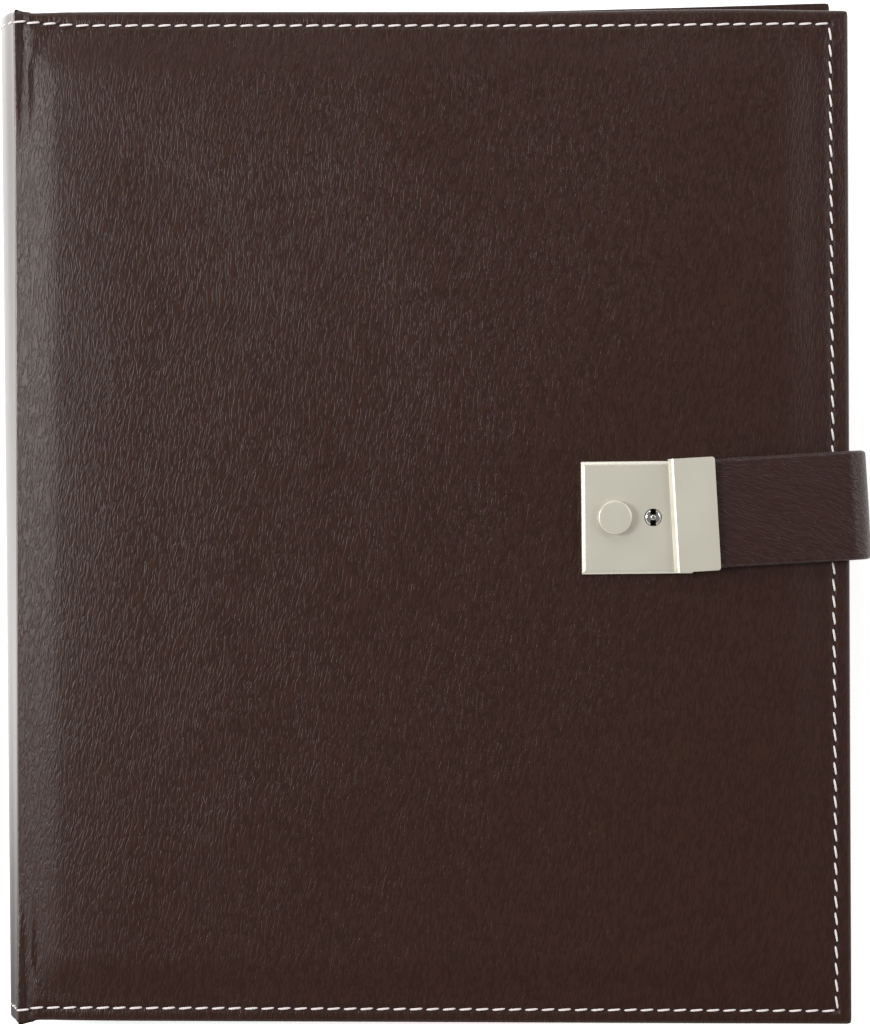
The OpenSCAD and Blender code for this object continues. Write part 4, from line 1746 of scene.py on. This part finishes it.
@dataclass
class Hasp:
    """The folded hasp on the strap's end."""

    x0: float = -61.6
    x1: float = -47.0
    half_h: float = 17.9
    top: float = 42.2
    over: float = 39.5
    under: float = 36.5
    riser: float = -53.2
    wall: float = 0.6

    def build(self) -> None:
        """Builds the shell with its bright lip and dresses the back plate."""
        shell = block("hasp_cover", (self.x0, -self.half_h, self.over), (self.x1, self.half_h, self.top))
        with editing(shell):
            bpy.ops.mesh.select_all(action="SELECT")
            bpy.ops.mesh.bisect(plane_co=(self.riser * MM, 0, 0), plane_no=(1, 0, 0))
            choose(shell, Pick.FACES, lambda m, n: n.z < -0.9 and m.x > self.riser)
            step = (0, 0, (self.under - self.over) * MM)
            bpy.ops.mesh.extrude_region_move(TRANSFORM_OT_translate={"value": step})
        top = self.top - 0.01
        bevel(shell, 1.7, 2, lambda m, d: m.z > top and m.x < self.x0 + 0.1)
        for vertex in shell.data.vertices:
            x, z = vertex.co.x / MM, vertex.co.z / MM
            if self.x0 + 0.2 < x < self.x0 + 1.2 and self.top - 1.2 < z < self.top - 0.2:
                vertex.co.x, vertex.co.z = (self.x0 + 1.0) * MM, (self.top - 0.3) * MM
        bevel(shell, 0.15, 2, lambda m, d: abs(d.y) > 0.9 and m.z > self.top - 1 and m.x < self.x0 + 2)
        bevel(shell, 0.9, 4, lambda m, d: m.x > self.x1 - 0.05 and abs(d.z) > 0.9)
        bevel(shell, 0.55, 4, lambda m, d: m.z > top and (abs(d.x) > 0.5 or m.x > self.x1 - 1))
        w = self.wall
        carve(
            shell,
            block(
                "left",
                (self.x0 + 0.8, -self.half_h + w, self.over - 1),
                (self.riser + 0.8, self.half_h - w, self.top - 0.9),
            ),
            block(
                "right",
                (self.riser - 1, -self.half_h + w, self.under - 1),
                (self.x1 + 1, self.half_h - w, self.top - 0.9),
            ),
        )
        shell.data.transform(FRAME.strap_matrix())
        soften(shell, 35)
        dress(shell, SATIN_NICKEL)
        hand_over(shell, "strap", "satin_nickel", "hasp_shell")
        dress_nodes(SHEET_STEEL, "hasp_back", "hasp_rivets")


@dataclass
class Binder:
    """Ring mechanism on the rear lining, with clear pockets."""

    ring_x: float = -108.548
    half_h: float = 151.5
    right: float = 218.0
    bend: tuple[float, float] = (14.0, 46.0)
    hole: tuple[float, float] = (3.6, 12.0)
    hole_half: float = 2.6
    pitch: float = 80.0

    def matrix(self) -> Matrix:
        """Gives the placement of the rings' frame on the rear cover.

        Returns:
            The placement, in metres.
        """
        pivot = Matrix.Translation((FRAME.groove_x * MM, FRAME.rear_shift * MM, 0))
        turn = Matrix.Rotation(math.radians(FRAME.rear_skew), 4, "Z")
        return pivot @ turn @ Matrix.Translation(((self.ring_x - FRAME.groove_x) * MM, 0, 0))

    @property
    def hole_places(self) -> list[float]:
        """Places of the holes along the film's edge."""
        return [i * self.pitch for i in (-1.5, -0.5, 0.5, 1.5)]

    def film(
        self, name: str, left: float, high: float, low: float, thick: float, sway: float
    ) -> bpy.types.Object:
        """Builds one punched sheet of film that comes down from the rings to the lining.

        Args:
            name: the sheet's name.
            left: its edge beside the rings.
            high: its height at the rings.
            low: its height on the lining.
            thick: its thickness.
            sway: height of its slow waves.

        Returns:
            The sheet.
        """
        a, b = self.bend
        xs = [left, (left + self.hole[0]) / 2, self.hole[0], 6.0, 9.0, self.hole[1]]
        xs += list(np.linspace(a, b, 14)) + list(np.linspace(b, self.right, 36))[1:]
        ys = list(np.linspace(-self.half_h, self.half_h, 62))
        for hole in self.hole_places:
            ys += [hole - self.hole_half, hole + self.hole_half]
        x, y = np.meshgrid(np.array(xs), np.array(sorted(ys)))
        z = high + (low - high) * smooth((x - a) / (b - a))
        z = z + sway * np.sin(x / 31 + 1.0) * np.sin(y / 43 + 0.6) * smooth((x - a) / 40)
        obj = net(name, np.stack([x, y, z], -1))
        delete_faces(obj, self.in_hole)
        mod = obj.modifiers.new("wall", "SOLIDIFY")
        mod.thickness = thick * MM
        mod.offset = 1.0
        make_active(obj)
        bpy.ops.object.modifier_apply(modifier=mod.name)
        return obj

    def in_hole(self, middle: Vector, _: Vector) -> bool:
        """Tells whether a place lies in one of the punched holes."""
        beside = any(abs(middle.y - hole) < self.hole_half for hole in self.hole_places)
        return beside and self.hole[0] < middle.x < self.hole[1]

    def build(self) -> None:
        """Builds the pockets and dresses the ring mechanism."""
        sheets = []
        for k in range(6):
            lift = 0.1 + 0.72 * k
            sheets.append(self.film(f"pocket_{k}", -4.0, 13.0 + lift, 7.0 + lift, 0.16, 0.16))
        stack = unite("pocket_sheets", sheets)
        stack.data.transform(self.matrix())
        soften(stack, 40)
        dress(stack, FILM)
        hand_over(stack, "rear_cover", "clear_film", "pocket_stack")
        leaf = self.film("turning_pocket", 1.2, 17.85, 11.85, 0.3, 0.12)
        leaf.data.transform(self.matrix())
        soften(leaf, 40)
        dress(leaf, FILM)
        hand_over(leaf, "leaf", "clear_film", "pocket_leaf")
        dress_nodes(RING_STEEL, "ring_hull", "blade_left", "blade_right", "rings_left", "rings_right")
        dress_nodes(SHEET_STEEL, "ring_rivets")


@dataclass
class Studio:
    """Camera, floor, lamps and surroundings."""

    camera_at: tuple[float, float, float] = (-1.66, 1.7, 1091.0)
    view_deg: float = 17.448
    overhead: float = 0.222
    horizon: float = 1.5

    def build_camera(self) -> None:
        """Places the camera straight over the closed portfolio."""
        data = bpy.data.cameras.new("camera")
        data.sensor_fit = "VERTICAL"
        data.angle = math.radians(self.view_deg)
        camera = bpy.data.objects.new("camera", data)
        camera.location = [v * MM for v in self.camera_at]
        bpy.context.collection.objects.link(camera)
        bpy.context.scene.camera = camera

    def build_floor(self) -> None:
        """Lays a white floor that keeps the shadow."""
        bpy.ops.object.select_all(action="DESELECT")
        bpy.ops.mesh.primitive_plane_add(size=8, location=(0, 0, -0.5 * MM))
        floor = bpy.context.object
        floor.name = "floor"
        # matt white paper that is lit evenly, so that the eye sees white with a soft contact shadow
        material, tree, shader = blank("floor_white")
        path = add_node(tree, "LightPath", {})
        direct = add_node(
            tree,
            "Math",
            {0: path.outputs["Is Camera Ray"], 1: path.outputs["Is Transmission Ray"]},
            operation="ADD",
        )
        # painted reflection: only in glossy rays the floor glows and is paler towards the head, and turns
        # dark grey towards the tail, so the spine's strip is drawn brighter at the head than at the tail
        place = add_node(tree, "TexCoord", {})
        parts = add_node(tree, "SeparateXYZ", {0: place.outputs["Object"]})
        mirrored = add_node(
            tree,
            "MapRange",
            {"Value": parts.outputs["Y"], "From Min": -0.18, "From Max": -0.03, "To Max": 0.88},
            interpolation_type="SMOOTHSTEP",
        )
        glossy = add_node(
            tree, "Math", {0: path.outputs["Is Glossy Ray"], 1: mirrored.outputs[0]}, operation="MULTIPLY"
        )
        dim = add_node(
            tree, "Math", {0: path.outputs["Is Glossy Ray"], 1: glossy.outputs[0]}, operation="SUBTRACT"
        )
        shade = add_node(
            tree, "Mix", {0: dim.outputs[0], 6: linear("#f2f2f2"), 7: linear("#3c3a39")}, data_type="RGBA"
        )
        glow = add_node(
            tree, "Math", {0: direct.outputs[0], 1: 0.62, 2: glossy.outputs[0]}, operation="MULTIPLY_ADD"
        )
        set_inputs(
            shader,
            {
                "Base Color": shade.outputs[2],
                "Roughness": 0.8,
                "Emission Color": linear("#ffffff"),
                "Emission Strength": glow.outputs[0],
            },
        )
        floor.data.materials.append(material)

    def build_world(self) -> None:
        """Makes soft surroundings, brighter towards the horizon."""
        world = bpy.data.worlds.new("surroundings")
        world.use_nodes = True
        tree = world.node_tree
        sky = tree.nodes["Background"]
        place = add_node(tree, "TexCoord", {})
        parts = add_node(tree, "SeparateXYZ", {0: place.outputs["Generated"]})
        level = add_node(
            tree,
            "MapRange",
            {
                "Value": parts.outputs["Z"],
                "From Min": 0.15,
                "From Max": 0.7,
                "To Min": self.horizon,
                "To Max": self.overhead,
            },
            interpolation_type="SMOOTHSTEP",
        )
        set_inputs(sky, {"Color": linear("#fdfcfb"), "Strength": level.outputs[0]})
        bpy.context.scene.world = world

    def lamp(self, name: str, at: Point, size: float, watts: float) -> None:
        """Adds a soft square lamp that faces the portfolio.

        Args:
            name: the lamp's name.
            at: its place in metres.
            size: its side in metres.
            watts: its power.
        """
        data = bpy.data.lights.new(name, "AREA")
        data.size = size
        data.energy = watts
        obj = bpy.data.objects.new(name, data)
        obj.location = at
        obj.rotation_euler = (-Vector(at)).to_track_quat("-Z", "Y").to_euler()
        bpy.context.collection.objects.link(obj)

    def build(self) -> None:
        """Builds the whole studio."""
        self.build_camera()
        self.build_floor()
        self.build_world()
        self.lamp("left_softbox", (-1.0, 0.17, 1.0), 0.45, 11.5)
        self.lamp("right_softbox", (1.0, 0.3, 1.0), 0.4, 3.7)
        self.lamp("head_softbox", (-0.2, 1.1, 0.9), 0.5, 3.5)
        bpy.context.scene.view_settings.view_transform = "Standard"


def main() -> None:
    """Builds the studio and every sub-assembly in order."""
    logging.basicConfig(level=logging.INFO, format="%(name)s: %(message)s")
    Studio().build()
    front = Cover(
        Side.FRONT,
        -129.7,
        129.7,
        tail_slant=0.55,
        head_reach=1.0,
        row_shift=0.93,
        row_slant=0.52,
        row_rise=0.5,
    )
    rear = Cover(
        Side.REAR,
        -126.548,
        130.3,
        skew=FRAME.rear_skew,
        shift=FRAME.rear_shift,
        row_bow=0.0,
        head_dip=0.8,
        fore_tuck=0.7,
    )
    front.build()
    rear.build()
    Spine().build()
    Strap().build()
    Lock().build()
    Hasp().build()
    Binder().build()


if __name__ == "__main__":
    main()
